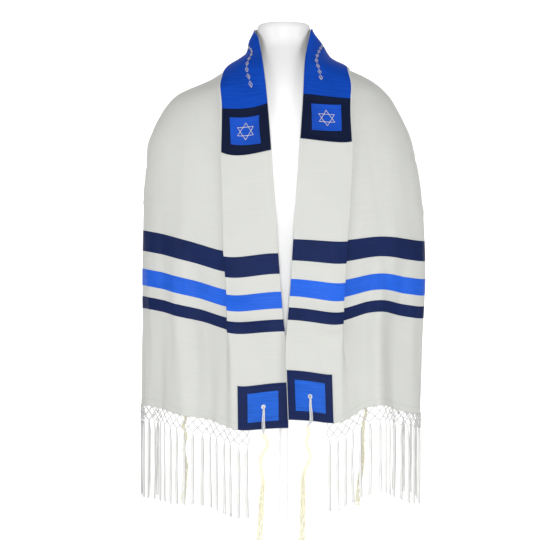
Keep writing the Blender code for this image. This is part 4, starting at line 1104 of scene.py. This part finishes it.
MARGIN_CLEAR = 0.007
MARGIN_SLOPE = 0.001
MARGIN_RISE = 0.0003
COLLAR_GAP = 0.0003  # between the collar band and a star square
COLLAR_ROWS = (0.0015, 0.003)  # its first own row, and from where it has the cloth's rows
STITCH_SHAPE = (-0.0004, 0.0002, 0.00035, 0.0002, -0.0004)  # heights along a stitch
STITCH_SPACE = 0.0014
HEM_STITCH = (CLOTH_HALF, 0.0026, 0.00024)  # height, length, radius
SQUARE_STITCH = (SQUARE_HIGH + 0.0003, 0.0024, 0.00022)
SQUARE_STITCH_INSET = 0.0022
HEM_STITCH_START = 0.106
HEM_STITCH_POINTS = 140
SEAM_STEP = 0.002
STITCH_POINTS = len(STITCH_SHAPE)


def own_lines(lines, low, high):
    """The cloth's own lines from low to high, with finer ones at a turned margin."""
    inside = [line for line in lines if low + MARGIN_CLEAR < line < high - MARGIN_CLEAR]
    return joined(low + MARGIN_LINES, inside, high - MARGIN_LINES)


def turned_edges(grid, normals, lines, lengths, ends=1):
    """Raises a narrow turned margin inside a piece's edges."""
    across, along = (
        1 - band(x, x[0] + MARGIN, x[-1] - MARGIN, MARGIN_SLOPE) for x in (lines, lengths)
    )
    rim = np.maximum(across[None, :], along[:, None] * ends)
    return grid + normals * (MARGIN_RISE * rim)[..., None]


def dense(places, size):
    """The same outline with points close together."""
    places = np.asarray(places, float)
    reach = np.append(0, np.cumsum(np.linalg.norm(np.diff(places, axis=0), axis=1)))
    return read_off(np.linspace(0, reach[-1], max(2, int(reach[-1] / size))), reach, places)


def thread(side, run, rise, radius, sides):
    """A thread over the cloth along (distance along, distance across)."""
    return tubes([[DRAPES[side].point(t, v, rise) for t, v in run]], radius, sides)


def stitches(side, places, rise, length, radius):
    """Short sewn stitches along a line of (distance along, distance across) on the cloth."""
    places = np.asarray(places, float)
    reach = np.append(0, np.cumsum(np.linalg.norm(np.diff(places, axis=0), axis=1)))
    paths = []
    for start in np.arange(0.0, reach[-1] - length, length + STITCH_SPACE):
        run = read_off(start + length * np.linspace(0, 1, STITCH_POINTS), reach, places)
        point = DRAPES[side].point
        paths.append([point(t, v, rise + bump) for (t, v), bump in zip(run, STITCH_SHAPE)])
    return tubes(paths, radius, sides=4)


def make_patch(slot, side, span, lines, heights, finish, node, hole=None):
    """A square of cloth sewn flat on the shawl, open at a tassel's hole where it has one."""
    drape = DRAPES[side]
    lengths = own_lines(drape.lengths, *span)
    across = own_lines(drape.lines[0], *lines)
    grid, normals, uvs = drape.patch(lengths, across)
    grid = turned_edges(grid, normals, across, lengths)
    missing = ()
    if hole is not None:
        missing = [tuple(np.argmin(np.abs(x - at)) for x, at in zip((lengths, across), hole))]
    return wall(node, (grid, normals, uvs), heights, [finish], missing=missing)


def square_spans(hole, sizes):
    """Where a corner square lies, along and across, round its tassel hole."""
    return [(middle - size / 2, middle + size / 2) for middle, size in zip(hole, sizes)]


def make_corner(side, place):
    """A corner's navy square with its blue centre, both open at the tassel hole."""
    made = []
    hole = HOLES[side][place]
    for part, sizes, heights, finish in (
        ("navy", PATCH_SIZES[side], (SQUARE_LOW, SQUARE_HIGH), NAVY),
        ("blue", (PATCH_CENTRE, PATCH_CENTRE), (CENTRE_LOW, CENTRE_HIGH), CORNER_BLUE),
    ):
        spans = square_spans(hole, sizes)
        node = f"corner_{place}_{side}_{part}"
        made.append(make_patch(part + "_silk", side, *spans, heights, finish, node, hole))
    return made


def centre_place(side, along, across):
    """Distances along and across the cloth, from shares -1 to 1 of a star square's centre."""
    middle = sum(SQUARE_SPANS[side]) / 2, sum(COLLAR_SPAN) / 2
    shares = [(1 + a * along) * (1 + b * across) / 4 for a in (-1, 1) for b in (-1, 1)]
    return [
        middle[way] + sum(share * corner[way] for share, corner in zip(shares, CENTRE_CORNERS[side]))
        for way in (0, 1)
    ]


def make_star_square(side):
    """The navy square, its blue centre and the star that end the collar on one side."""
    drape, lines = DRAPES[side], CENTRE_LINES
    heights, node = (SQUARE_LOW, SQUARE_HIGH), f"collar_square_{side}"
    made = [make_patch("navy_silk", side, SQUARE_SPANS[side], COLLAR_SPAN, heights, DARK_NAVY, node)]
    places = centre_place(side, lines[:, None], lines[None, :])
    both = np.array([[drape.row(t, v) for t, v in zip(*row)] for row in zip(*places)])
    grid, normals = both[:, :, 0], unit(both[:, :, 1])
    grid = turned_edges(grid, normals, CENTRE_HALF * lines, CENTRE_HALF * lines)
    surface, heights = (grid, normals, np.stack(places[::-1], -1)), (CENTRE_LOW, CENTRE_HIGH)
    made.append(wall(f"collar_centre_{side}", surface, heights, [STAR_BLUE]))
    threads = []
    for start in (0, 60):
        turns = np.radians(start + 120 * np.arange(4))
        corners = np.stack([np.cos(turns), np.sin(turns)], -1) * STAR_REACH[side]
        corners = [centre_place(side, *corner) for corner in corners]
        for ends in zip(corners, corners[1:]):
            run = dense(ends, STAR_STEP)
            threads.append(thread(side, run, CENTRE_HIGH + STAR_RISE, OUTLINE_RADIUS, sides=6))
    return [*made, strand_piece(f"star_{side}", threads, [PALE_STITCH])]


def make_collar():
    """The blue band round the neck, with a plain chain of lozenges along its middle."""
    lines = own_lines(DRAPES["left"].lines[0], *COLLAR_SPAN)
    first, clear = COLLAR_ROWS
    grids, places = {}, {}
    for side, drape in DRAPES.items():
        start = SQUARE_SPANS[side][1] + COLLAR_GAP
        own = [length for length in drape.lengths if length > start + clear]
        grids[side], _, places[side] = drape.patch(joined((start, start + first), own), lines)
    grid, normals, uvs = whole_length(grids, places)
    grid = turned_edges(grid, normals, lines, uvs[:, 0, 1], 0)
    heights = (SQUARE_LOW, SQUARE_HIGH)
    collar = wall("collar_band", (grid, normals, uvs), heights, [COLLAR_BLUE])
    threads = []
    for side in SIDES:
        start = SQUARE_SPANS[side][1] + CHAIN_START
        for centre in np.arange(start, BACK_AT[side] - CHAIN_END, LOZENGE_STEP):
            for corners, radius in LOZENGES:
                run = dense(np.array(corners) + (centre, sum(COLLAR_SPAN) / 2), CHAIN_STEP)
                threads.append(thread(side, run, SQUARE_HIGH + CHAIN_RISE, radius, sides=5))
    return collar, strand_piece("collar_chain", threads, [PALE_STITCH])


def make_seams():
    """Stitch lines: along the hems, and round the squares."""
    pale, dark = [], []
    row, inset = HEM_TURN - STITCH_INSET, SQUARE_STITCH_INSET
    for side in SIDES:
        ends = HEM_STITCH_START, CLOTH_WIDTH - HEM_STITCH_START
        pale.append(stitches(side, [(row, v) for v in np.linspace(*ends, HEM_STITCH_POINTS)], *HEM_STITCH))
        squares = [(SQUARE_SPANS[side], COLLAR_SPAN)]
        squares += [square_spans(hole, PATCH_SIZES[side]) for hole in HOLES[side].values()]
        for (low, high), (left, right) in squares:
            low, high, left, right = low + inset, high - inset, left + inset, right - inset
            outline = (low, left), (low, right), (high, right), (high, left), (low, left)
            dark.append(stitches(side, dense(outline, SEAM_STEP), *SQUARE_STITCH))
    return [
        strand_piece("hem_stitches", pale, [STITCH]),
        strand_piece("square_stitches", dark, [NAVY_STITCH]),
    ]


# ---------------------------------------------------------------- eyelets, tassels, fringe
EYELET = (  # rings of the stitched eyelet: radius, height, share of the stitches' ridges both ways
    (0.0022, -0.0008, 0, 0),
    (0.0024, 0.0004, 0, 1),
    (0.0031, 0.0009, 1, 1),
    (0.0039, 0.0007, 1, 1),
    (0.0045, 0.0001, 0, 0),
    (0.0044, -0.0003, 1, 0),
)
EYELET_SIDES = 96
EYELET_STITCHES = 24
EYELET_RIDGE = 0.00012
EYELET_STEP = 0.008  # over which the cloth's directions are taken


def make_eyelet(side, place):
    """A ring of close radial stitches round the tassel hole."""
    t, v = HOLES[side][place]
    turns = np.linspace(0, 2 * math.pi, EYELET_SIDES, endpoint=False)
    middle, above, beside = (
        DRAPES[side].point(t + up * EYELET_STEP, v + out * EYELET_STEP, CENTRE_HIGH)
        for up, out in ((0, 0), (1, 0), (0, 1))
    )
    up, across = unit(above - middle), unit(beside - middle)
    normal = np.cross(across, up) * SIDES[side]
    ridge = EYELET_RIDGE * np.sin(EYELET_STITCHES * turns)
    rings = []
    for radius, height, wider, higher in EYELET:
        out = radius + wider * ridge
        flat = (out * np.cos(turns))[:, None] * across + (out * np.sin(turns))[:, None] * up
        rings.append(middle + flat + normal * (height + higher * ridge[:, None]))
    index = np.arange(len(rings) * EYELET_SIDES).reshape(-1, EYELET_SIDES)
    after, below = np.roll(index, -1, axis=1), np.roll(index, -1, axis=0)
    faces = np.stack([index, after, np.roll(after, -1, axis=0), below], -1).reshape(-1, 4)
    uvs = np.stack(np.meshgrid(turns / (2 * math.pi), [row[0] for row in EYELET]), -1)
    node = f"corner_{place}_{side}_eyelet"
    points, finishes = np.concatenate(rings), [EYELET_WHITE]
    uvs = uvs.reshape(-1, 2)
    return add_piece(node + "_stitched", points, faces, finishes, [node], uvs)


TASSEL_BODY = {  # how the cord and its strands hang: distance below the hem, shift sideways
    "front_left": (
        (0.0095, -0.001), (0.018, 0.004), (0.0285, 0.0086), (0.044, 0.002), (0.056, -0.004),
        (0.0846, -0.0042), (0.1047, -0.0008), (0.1308, -0.0032), (0.171, -0.0048), (0.209, -0.0078),
        (0.243, -0.009),
    ),
    "front_right": (
        (0.0095, -0.008), (0.016, -0.006), (0.025, -0.0048), (0.041, -0.0092), (0.059, -0.0048),
        (0.0744, -0.0022), (0.088, -0.0084), (0.111, -0.0155), (0.1475, -0.0166), (0.23, -0.0184),
        (0.258, -0.0188),
    ),
    "rear_left": (
        (0.0095, 0.0), (0.02, 0.003), (0.033, -0.003), (0.047, 0.002), (0.083, -0.002),
        (0.1, 0.001), (0.155, 0.0), (0.2, -0.003),
    ),
    "rear_right": (
        (0.0095, 0.001), (0.02, 0.003), (0.047, -0.002), (0.06, -0.003), (0.105, -0.004),
        (0.135, -0.006), (0.165, -0.01), (0.226, -0.016),
    ),
}
TASSEL_TOP = 0.0006  # of its cloth above the hem's edge
TASSEL_OUT = 0.0018  # how far its middle hangs out from the hem
WOUND_START = 0.0095  # below the hem
WOUND_END = 0.088
WOUND_RADIUS = 0.0031
WOUND_ROWS = 90
WINDING = 0.0003, 0.0018  # height and pitch of the turns
KNOTS = (  # distance below the hem, radius
    (0.0115, 0.004), (0.015, 0.0042), (0.0335, 0.0043), (0.0575, 0.0044), (0.0615, 0.0041),
    (0.0835, 0.0044), (0.087, 0.004),
)
KNOT_SQUASH = 0.8  # half-height of a knot by its radius
CORD_RADIUS = 0.0008
CORDS = (-0.75, -0.25, 0.25, 0.75)  # sideways places of the cords of one side of the loop
CORDS_APART = (0.0036, 0.0018)  # half-width of the cords at the hem and at the hole
CORD_FACES = (  # of the loop: height over the cloth's middle, and height inside the hole
    (CENTRE_HIGH + 0.0012, 0.0024),
    (-0.002, -0.0006),
)
CORD_INTO = (0.85, 0.9)  # shares of the way where the cords draw together and dip into the hole
CORD_LEAD = (0.0, 0.35, 0.7)  # shares of the way from the head of the windings to the hem
CORD_HEAD = 0.002
CORD_LOWEST = 0.0008
CORD_WAVER = 0.0004
CORD_WAVES = ((6, 2.0), (9, 1.7))  # sideways and outwards: waves along a cord, change by cord
CORD_POINTS = 13
CORD_CLOSER = 0.5
STRAND_RADIUS = 0.00115
STRANDS = 8
STRAND_UNEVEN = 0.009
STRAND_START = 0.004  # how far the strands start inside the windings
STRAND_ROWS = 34
STRAND_APART = (0.0019, 0.0019, 0.0008)  # at the head, more where they are open, more at the end
STRAND_OPEN = 0.3  # share of the way down where they are open
STRAND_TWIST = 5
STRAND_WAVES = ((0.001, 26, 1.9), (0.0004, 70, 1.0))  # height, waves, change by strand
DOWN = np.array((0, 0, -1.0))


def tassel_loops(side, hole, head):
    """Paths of the cords from the head of the windings up to and into the hole."""
    loops = []
    length, v = hole
    at_hem, at_hole = CORDS_APART
    together, dip = CORD_INTO
    for k, shift in enumerate(CORDS):
        for high, inner in CORD_FACES:
            path = []
            for share in np.linspace(0, 1, CORD_POINTS):
                aside, bulge = (CORD_WAVER * math.sin(w * share + by * k) for w, by in CORD_WAVES)
                apart = at_hem + (at_hole - at_hem) * ease(share, 0, 1)
                apart = apart * (1 - CORD_CLOSER * ease(share, together, 1))
                rise = high + (inner - high) * ease(share, dip, 1) + bulge
                along = max(length * share - TASSEL_TOP, CORD_LOWEST)
                path.append(DRAPES[side].point(along, v + shift * apart + aside, rise))
            lead = [head + (path[0] - head) * share for share in CORD_LEAD]
            loops.append(np.array(lead + path))
    return loops


def make_tassel(side, place):
    """The cord through the corner's hole, its knots and windings, and its eight strands."""
    key = f"{place}_{side}"
    hole = HOLES[side][place]
    hem = DRAPES[side].point(TASSEL_TOP, hole[1])
    out = unit((DRAPES[side].point(TASSEL_TOP, hole[1], 1.0) - hem) * (1, 1, 0))
    sideways = np.array((out[1], -out[0], 0)) * (-1 if place == "front" else 1)
    table = np.array(TASSEL_BODY[key])

    def body(down):
        """Points down the middle of the tassel."""
        shift = curve_through(down, *table.T)
        return hem + out * TASSEL_OUT + down[..., None] * DOWN + sideways * shift[..., None]

    loops = tassel_loops(side, hole, body(np.array((WOUND_START + CORD_HEAD,)))[0])
    wound = np.linspace(WOUND_START, WOUND_END, WOUND_ROWS)
    height, pitch = WINDING
    radius = WOUND_RADIUS + height * np.sin(2 * math.pi * wound / pitch)
    for at, size in KNOTS:
        round_knot = np.clip(1 - ((wound - at) / (KNOT_SQUASH * size)) ** 2, 0, 1)
        radius = np.maximum(radius, size * np.sqrt(round_knot))
    strands = []
    at_head, soon, at_end = STRAND_APART
    for k in range(STRANDS):
        turn = 2 * math.pi * (k + 0.5) / STRANDS
        end = table[-1, 0] - STRAND_UNEVEN * (k % 3)
        down = np.linspace(WOUND_END - STRAND_START, end, STRAND_ROWS)
        share = np.linspace(0, 1, STRAND_ROWS)
        apart = at_head + soon * ease(share, 0, STRAND_OPEN) + at_end * share
        coarse, fine = (tall * np.sin(waves * share + by * k) for tall, waves, by in STRAND_WAVES)
        turning = turn + STRAND_TWIST * share
        round_out = np.stack([np.cos(turning), np.sin(turning), 0 * share], -1)
        aside = np.array((-math.sin(turn), math.cos(turn), 0))
        wobble = (coarse * share + fine)[:, None]
        strands.append(body(down) + round_out * apart[:, None] + aside * wobble)
    groups = [tubes(loops, CORD_RADIUS, sides=6), tubes([body(wound)], radius, sides=12)]
    groups.append(tubes(strands, STRAND_RADIUS, sides=6))
    node = f"tassel_{key}"
    return strand_piece(node + "_cord", groups, [CORD, LOOP], [node], second=1)


FRINGE_SPAN = (0.0744, 0.444)
BUNDLES = FRINGE_BUNDLES + 2  # the first two hang behind the corner square's edge
FRINGE_SEEDS = {"left": 11, "right": 23}
PAINTED_SHADOW_YARN = {"left": 0, "right": 6}  # which of a bundle's yarns is greyer: a painted shadow line along the bundle
LONGER = {"left": 0.014, "right": 0.009}  # how much longer the outer bundles are
LONGER_FROM = (0.17, 0.3)
HEM_SAMPLES = 160
HEM_PAST = 0.004  # how far those go past the fringe, and how far above the hem they look
SPAN_CLEAR = 0.003  # the outermost arms stop this far inside the span
NET_ROWS = (-0.0016, 0.0095, 0.0195, 0.0292)  # distances below the hem
NET_YARN = 0.0006
NET_TWIST = 0.00085
NET_PHASE = 0.4
NET_POINTS = 9
NET_OUT = (0.0009, 0.0005)  # how far the net hangs out, and how much it weaves in and out
NET_KNOTS = ((0.0014, 0.0017), (0.0015, 0.0018), (0.0019, 0.003))  # half-width, half-height
KNOT_BELOW = 0.001
KNOT_OUT = 0.001
KNOT_POINTS = 9
KNOT_TIP = 0.03  # least share of a knot's roundness, at its ends
KNOT_RIDGES = (0.1, 9)  # height by the radius, waves
YARNS = 7
YARN_RADIUS = 0.00062
YARN_SPACE = 0.00088
YARN_START = 0.003  # below the net's last row
YARN_SHORTER = 0.006
YARN_POINTS = 18
YARN_TIGHT = (0.3, 0.1)  # share of the space at the knot, share of the way down where it is whole
YARN_WAVES = {"lean": 4, "bend": 9, "swing": 5}
YARN_PHASES = 6.3
BEND_GROWS = 0.2
YARN_OUT = (0.0008, 0.0006, 0.0005)  # middle, to either side of it, and swing
SWAY, LEAN, BEND = 0.0007, 0.0006, 0.00035  # spreads of a bundle's and a yarn's own ways


def below_hem(side):
    """A function giving points below the fringe's stretch of the hem and out from it."""
    first, last = FRINGE_SPAN
    lines = np.linspace(first - HEM_PAST, last + HEM_PAST, HEM_SAMPLES)
    hem, around = (fine_points(side, t, lines) for t in (0.0, HEM_PAST))
    normal = unit(np.cross(np.gradient(hem, axis=0), around - hem) * SIDES[side] * (1, 1, 0))

    def below(across, down, out):
        place, facing = (read_off(across, lines, values) for values in (hem, normal))
        return place + facing * np.asarray(out)[..., None] + np.asarray(down)[..., None] * DOWN

    return below


def net_arms(below, middle, pitch):
    """The yarns that cross from one bundle's knot to its neighbours': two sorts of paths."""
    first, last = FRINGE_SPAN
    share = np.linspace(0, 1, NET_POINTS)
    rest, weave = NET_OUT
    arms = {-1: [], 1: []}
    for way in (-1, 1):
        beside = min(max(middle + way * pitch / 2, first + SPAN_CLEAR), last - SPAN_CLEAR)
        for row, (high, low) in enumerate(zip(NET_ROWS, NET_ROWS[1:])):
            start, end = (middle, beside) if row == 1 else (beside, middle)
            for strand in arms:
                twist = NET_TWIST * strand * np.cos(math.pi * share + NET_PHASE * strand)
                out = rest + weave * (way * np.cos(math.pi * share) + strand)
                across = start + (end - start) * share + twist
                arms[strand].append(below(across, high + (low - high) * share, out))
    return arms[-1], arms[1]


def make_fringe(side):
    """Yarns drawn through the hem, knotted into a net of diamonds, hanging in straight bundles; one greyer
    yarn in each bundle and in each net arm is painted shadow.
    """
    first, last = FRINGE_SPAN
    pitch = (last - first) / BUNDLES
    below = below_hem(side)
    draw = np.random.default_rng(FRINGE_SEEDS[side])
    fall = np.linspace(0, 1, YARN_POINTS)
    tight, opens = YARN_TIGHT
    opening = tight + (1 - tight) * ease(fall, 0, opens)
    start = NET_ROWS[-1] + YARN_START
    middle_out, apart, swing = YARN_OUT
    arms, knots, yarns, painted_shadow_arms, painted_shadow_yarns = [], [], [], [], []
    for i in range(BUNDLES):
        middle = first + pitch * (i + 0.5)
        # The second strand of each net arm takes the greyer yarn, a painted shadow line along the net.
        plain, painted_shade = net_arms(below, middle, pitch)
        arms += plain
        painted_shadow_arms += painted_shade
        knots.append((middle, NET_ROWS[1], *NET_KNOTS[0]))
        knots.append((middle, NET_ROWS[3] + KNOT_BELOW, *NET_KNOTS[2]))
        if i:
            knots.append((middle - pitch / 2, NET_ROWS[2], *NET_KNOTS[1]))
        sway, lean = draw.normal(0, SWAY), draw.normal(0, LEAN)
        whole = FRINGE_LENGTH + LONGER[side] * ease(middle, *LONGER_FROM)
        for k in range(YARNS):
            reach = whole - YARN_SHORTER * draw.random() ** 2
            bend, phase = draw.normal(0, BEND), draw.uniform(0, YARN_PHASES)
            place = (k - (YARNS - 1) / 2) * YARN_SPACE * opening
            across = middle + place + sway * fall + lean * np.sin(YARN_WAVES["lean"] * fall)
            bending = np.sin(YARN_WAVES["bend"] * fall + phase) * ease(fall, 0, BEND_GROWS)
            across = across + bend * bending
            swinging = fall * np.sin(YARN_WAVES["swing"] * fall + phase)
            out = middle_out + apart * (-1) ** k + swing * swinging
            path = below(across, start + (reach - start) * fall, out)
            # One yarn of each bundle takes the greyer yarn, a painted shadow line along the bundle.
            (painted_shadow_yarns if k == PAINTED_SHADOW_YARN[side] else yarns).append(path)
    groups = []
    for net, hanging_yarns in ((painted_shadow_arms, painted_shadow_yarns), (arms, yarns)):
        groups += [tubes(net, NET_YARN, sides=5), tubes(hanging_yarns, YARN_RADIUS, sides=5)]
    along = np.linspace(-1, 1, KNOT_POINTS)
    ridge, waves = KNOT_RIDGES
    shape = np.sqrt(np.clip(1 - along**2, KNOT_TIP, 1)) * (1 + ridge * np.cos(waves * along))
    for across, down, wide, tall in knots:
        radius = wide * shape
        path = below(across + 0 * along, down + tall * along, KNOT_OUT + 0 * along)
        groups.append(tubes([path], radius, sides=8))
    node, finishes = f"fringe_{side}", [FRINGE, FRINGE_PAINTED_SHADOW]
    return strand_piece(node + "_yarn", groups, finishes, [node], second=2)


# ---------------------------------------------------------------- form and stand
FORM_ROWS = 120
FORM_SIDES = 96
FORM_CURVED = ((0.011, 0.03), (0.77, 0.785))  # drops between which the form's curves start and end
AXIS = 0.0005  # radius at which a round piece's flat ends close
POLE_SIDES = 48
POLE_IN = 0.002  # how far the pole reaches up into the form
BASE_SIDES = 128
BASE_LIP = 0.0008
BASE_EDGE = 0.003
BORE = POLE_RADIUS + 0.0003
BOSS = (  # down the boss and out to the plate: distance out from the bore, height
    (0.0, BOSS_HEIGHT), (0.005, BOSS_HEIGHT), (0.0065, BOSS_HEIGHT - 0.001),
    (0.0085, BOSS_HEIGHT - 0.005), (0.0105, BASE_HEIGHT + 0.01), (0.0125, BASE_HEIGHT + 0.004),
    (0.016, BASE_HEIGHT + 0.001), (0.02, BASE_HEIGHT),
)


def ring(sides, half, front, back, height):
    """A level ring of points round the form's axis."""
    turns = np.linspace(0, 2 * math.pi, sides, endpoint=False)
    depth = np.where(np.cos(turns) > 0, front, back)
    return np.stack([half * np.sin(turns), -depth * np.cos(turns), np.full(sides, height)], -1)


def stacked(name, rings, finish, part, sharp):
    """A closed piece over rings, from its top to its bottom."""
    index = np.arange(len(rings) * len(rings[0])).reshape(len(rings), -1)
    after = np.roll(index, -1, axis=1)
    faces = np.stack([index[:-1], index[1:], after[1:], after[:-1]], -1).reshape(-1, 4).tolist()
    faces += [index[0].tolist(), index[-1, ::-1].tolist()]
    return add_piece(name, np.concatenate(rings), faces, [finish], [part], sharp=sharp)


def lathe(name, profile, sides, part):
    """A part of the stand, turned from (radius, height) pairs."""
    rings = [ring(sides, radius, radius, radius, height) for radius, height in profile]
    return stacked(name, rings, STAND_WHITE, part, sharp=50)


def make_form():
    """The torso with smooth curves through its solid's rings, and its stand."""
    drops, *sizes = np.array(FORM).T
    rings = []
    for drop in joined(np.linspace(0, drops[-1], FORM_ROWS), drops):
        starts, ends = FORM_CURVED
        mix = ease(drop, *starts) * (1 - ease(drop, *ends))
        half, front, back = (
            np.interp(drop, drops, size) * (1 - mix) + curve_through(drop, drops, size) * mix
            for size in sizes
        )
        rings.append(ring(FORM_SIDES, half, front, back, NECK_TOP - drop))
    stacked("form_body", rings, FORM_WHITE, "form_torso", sharp=30)
    top = NECK_TOP - drops[-1] + POLE_IN
    pole = [(AXIS, top), (POLE_RADIUS, top), (POLE_RADIUS, BASE_HEIGHT), (AXIS, BASE_HEIGHT)]
    lathe("stand_pole_tube", pole, POLE_SIDES, "stand_pole")
    plate = [(AXIS, BOSS_HEIGHT - 0.001)]
    plate += [(BORE + out, height) for out, height in BOSS]
    plate.append((BASE_RADIUS - BASE_EDGE, BASE_HEIGHT))
    plate.append((BASE_RADIUS - 0.4 * BASE_EDGE, BASE_HEIGHT - 0.2 * BASE_EDGE))
    plate.append((BASE_RADIUS, BASE_HEIGHT - BASE_EDGE))
    plate += [(BASE_RADIUS, BASE_LIP), (BASE_RADIUS - BASE_LIP, 0.0), (AXIS, 0.0)]
    lathe("stand_base_plate", plate, BASE_SIDES, "stand_base")


# ---------------------------------------------------------------- the studio
SWEEP = (  # distance back, height
    (-8.0, 0.0), (2.2, 0.0), (3.2, 0.04), (4.0, 0.14), (4.8, 0.35), (5.5, 0.7), (6.0, 1.2),
    (6.3, 1.9), (6.4, 7.0),
)
SWEEP_HALF = 10
SKY = 0.4
MIDDLE = (0, 0, 1.0)
LIGHTS = (  # name, place, target, size, power
    ("key", (-2.8, -2.0, 1.7), MIDDLE, (1.4, 1.6), 48),
    ("front", (-0.03, -3.9, 1.0), MIDDLE, (0.7, 0.7), 80),
    ("fill", (2.9, -1.9, 1.5), MIDDLE, (1.4, 1.6), 48),
    ("back_wash", (0, 3.4, 4.6), (0, 5.6, 0.8), (6.0, 1.8), 190),
)
CAMERA = (-0.0287, -3.4, NECK_TOP - 0.5126)
LENS = 108.333
SENSOR = 36


def add_light(name, place, target, size, power):
    """A rectangular light turned so that its -Z points at the target."""
    data = bpy.data.lights.new(name, "AREA")
    data.shape = "RECTANGLE"
    data.size, data.size_y = size
    data.energy = power
    lamp = add_object(name, data)
    lamp.location = place
    line = np.subtract(target, place)
    down = math.atan2(math.hypot(line[0], line[1]), -line[2])
    lamp.rotation_euler = (down, 0, math.atan2(line[0], -line[1]) + math.pi)


def make_studio():
    """A white sweep, soft light mainly from the left, and the camera."""
    points = [(x, y, z) for y, z in SWEEP for x in (-SWEEP_HALF, SWEEP_HALF)]
    faces = [(i, i + 1, i + 3, i + 2) for i in range(0, len(points) - 2, 2)]
    mesh = bpy.data.meshes.new("floor_sweep")
    mesh.from_pydata(points, [], faces)
    mesh.shade_smooth()
    mesh.materials.append(enamel("studio_paper", srgb(250, 250, 250), 0.9, 3.0, 0.02))
    add_object("floor_sweep", mesh)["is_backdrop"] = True
    world = bpy.data.worlds.new("studio")
    world.use_nodes = True
    colour, strength = world.node_tree.nodes["Background"].inputs[:2]
    colour.default_value = (1, 1, 1, 1)
    strength.default_value = SKY
    bpy.context.scene.world = world
    for row in LIGHTS:
        add_light(*row)
    data = bpy.data.cameras.new("camera")
    data.lens, data.sensor_width = LENS, SENSOR
    camera = add_object("camera", data)
    camera.location = CAMERA
    camera.rotation_euler = (math.pi / 2, 0, 0)
    bpy.context.scene.camera = camera
    bpy.context.scene.view_settings.view_transform = "Standard"


def main():
    make_form()
    shawl = make_shawl()
    collar, chain = make_collar()
    trims = make_seams()
    for side in SIDES:
        trims += make_star_square(side)
        trims.append(make_fringe(side))
        for place in HOLES[side]:
            trims += make_corner(side, place)
            trims.append(make_eyelet(side, place))
            trims.append(make_tassel(side, place))
    make_studio()


main()
boxes = {"cad": CAD_BOX, "visual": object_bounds()}
{name: [list(corner) for corner in box] for name, box in boxes.items()}
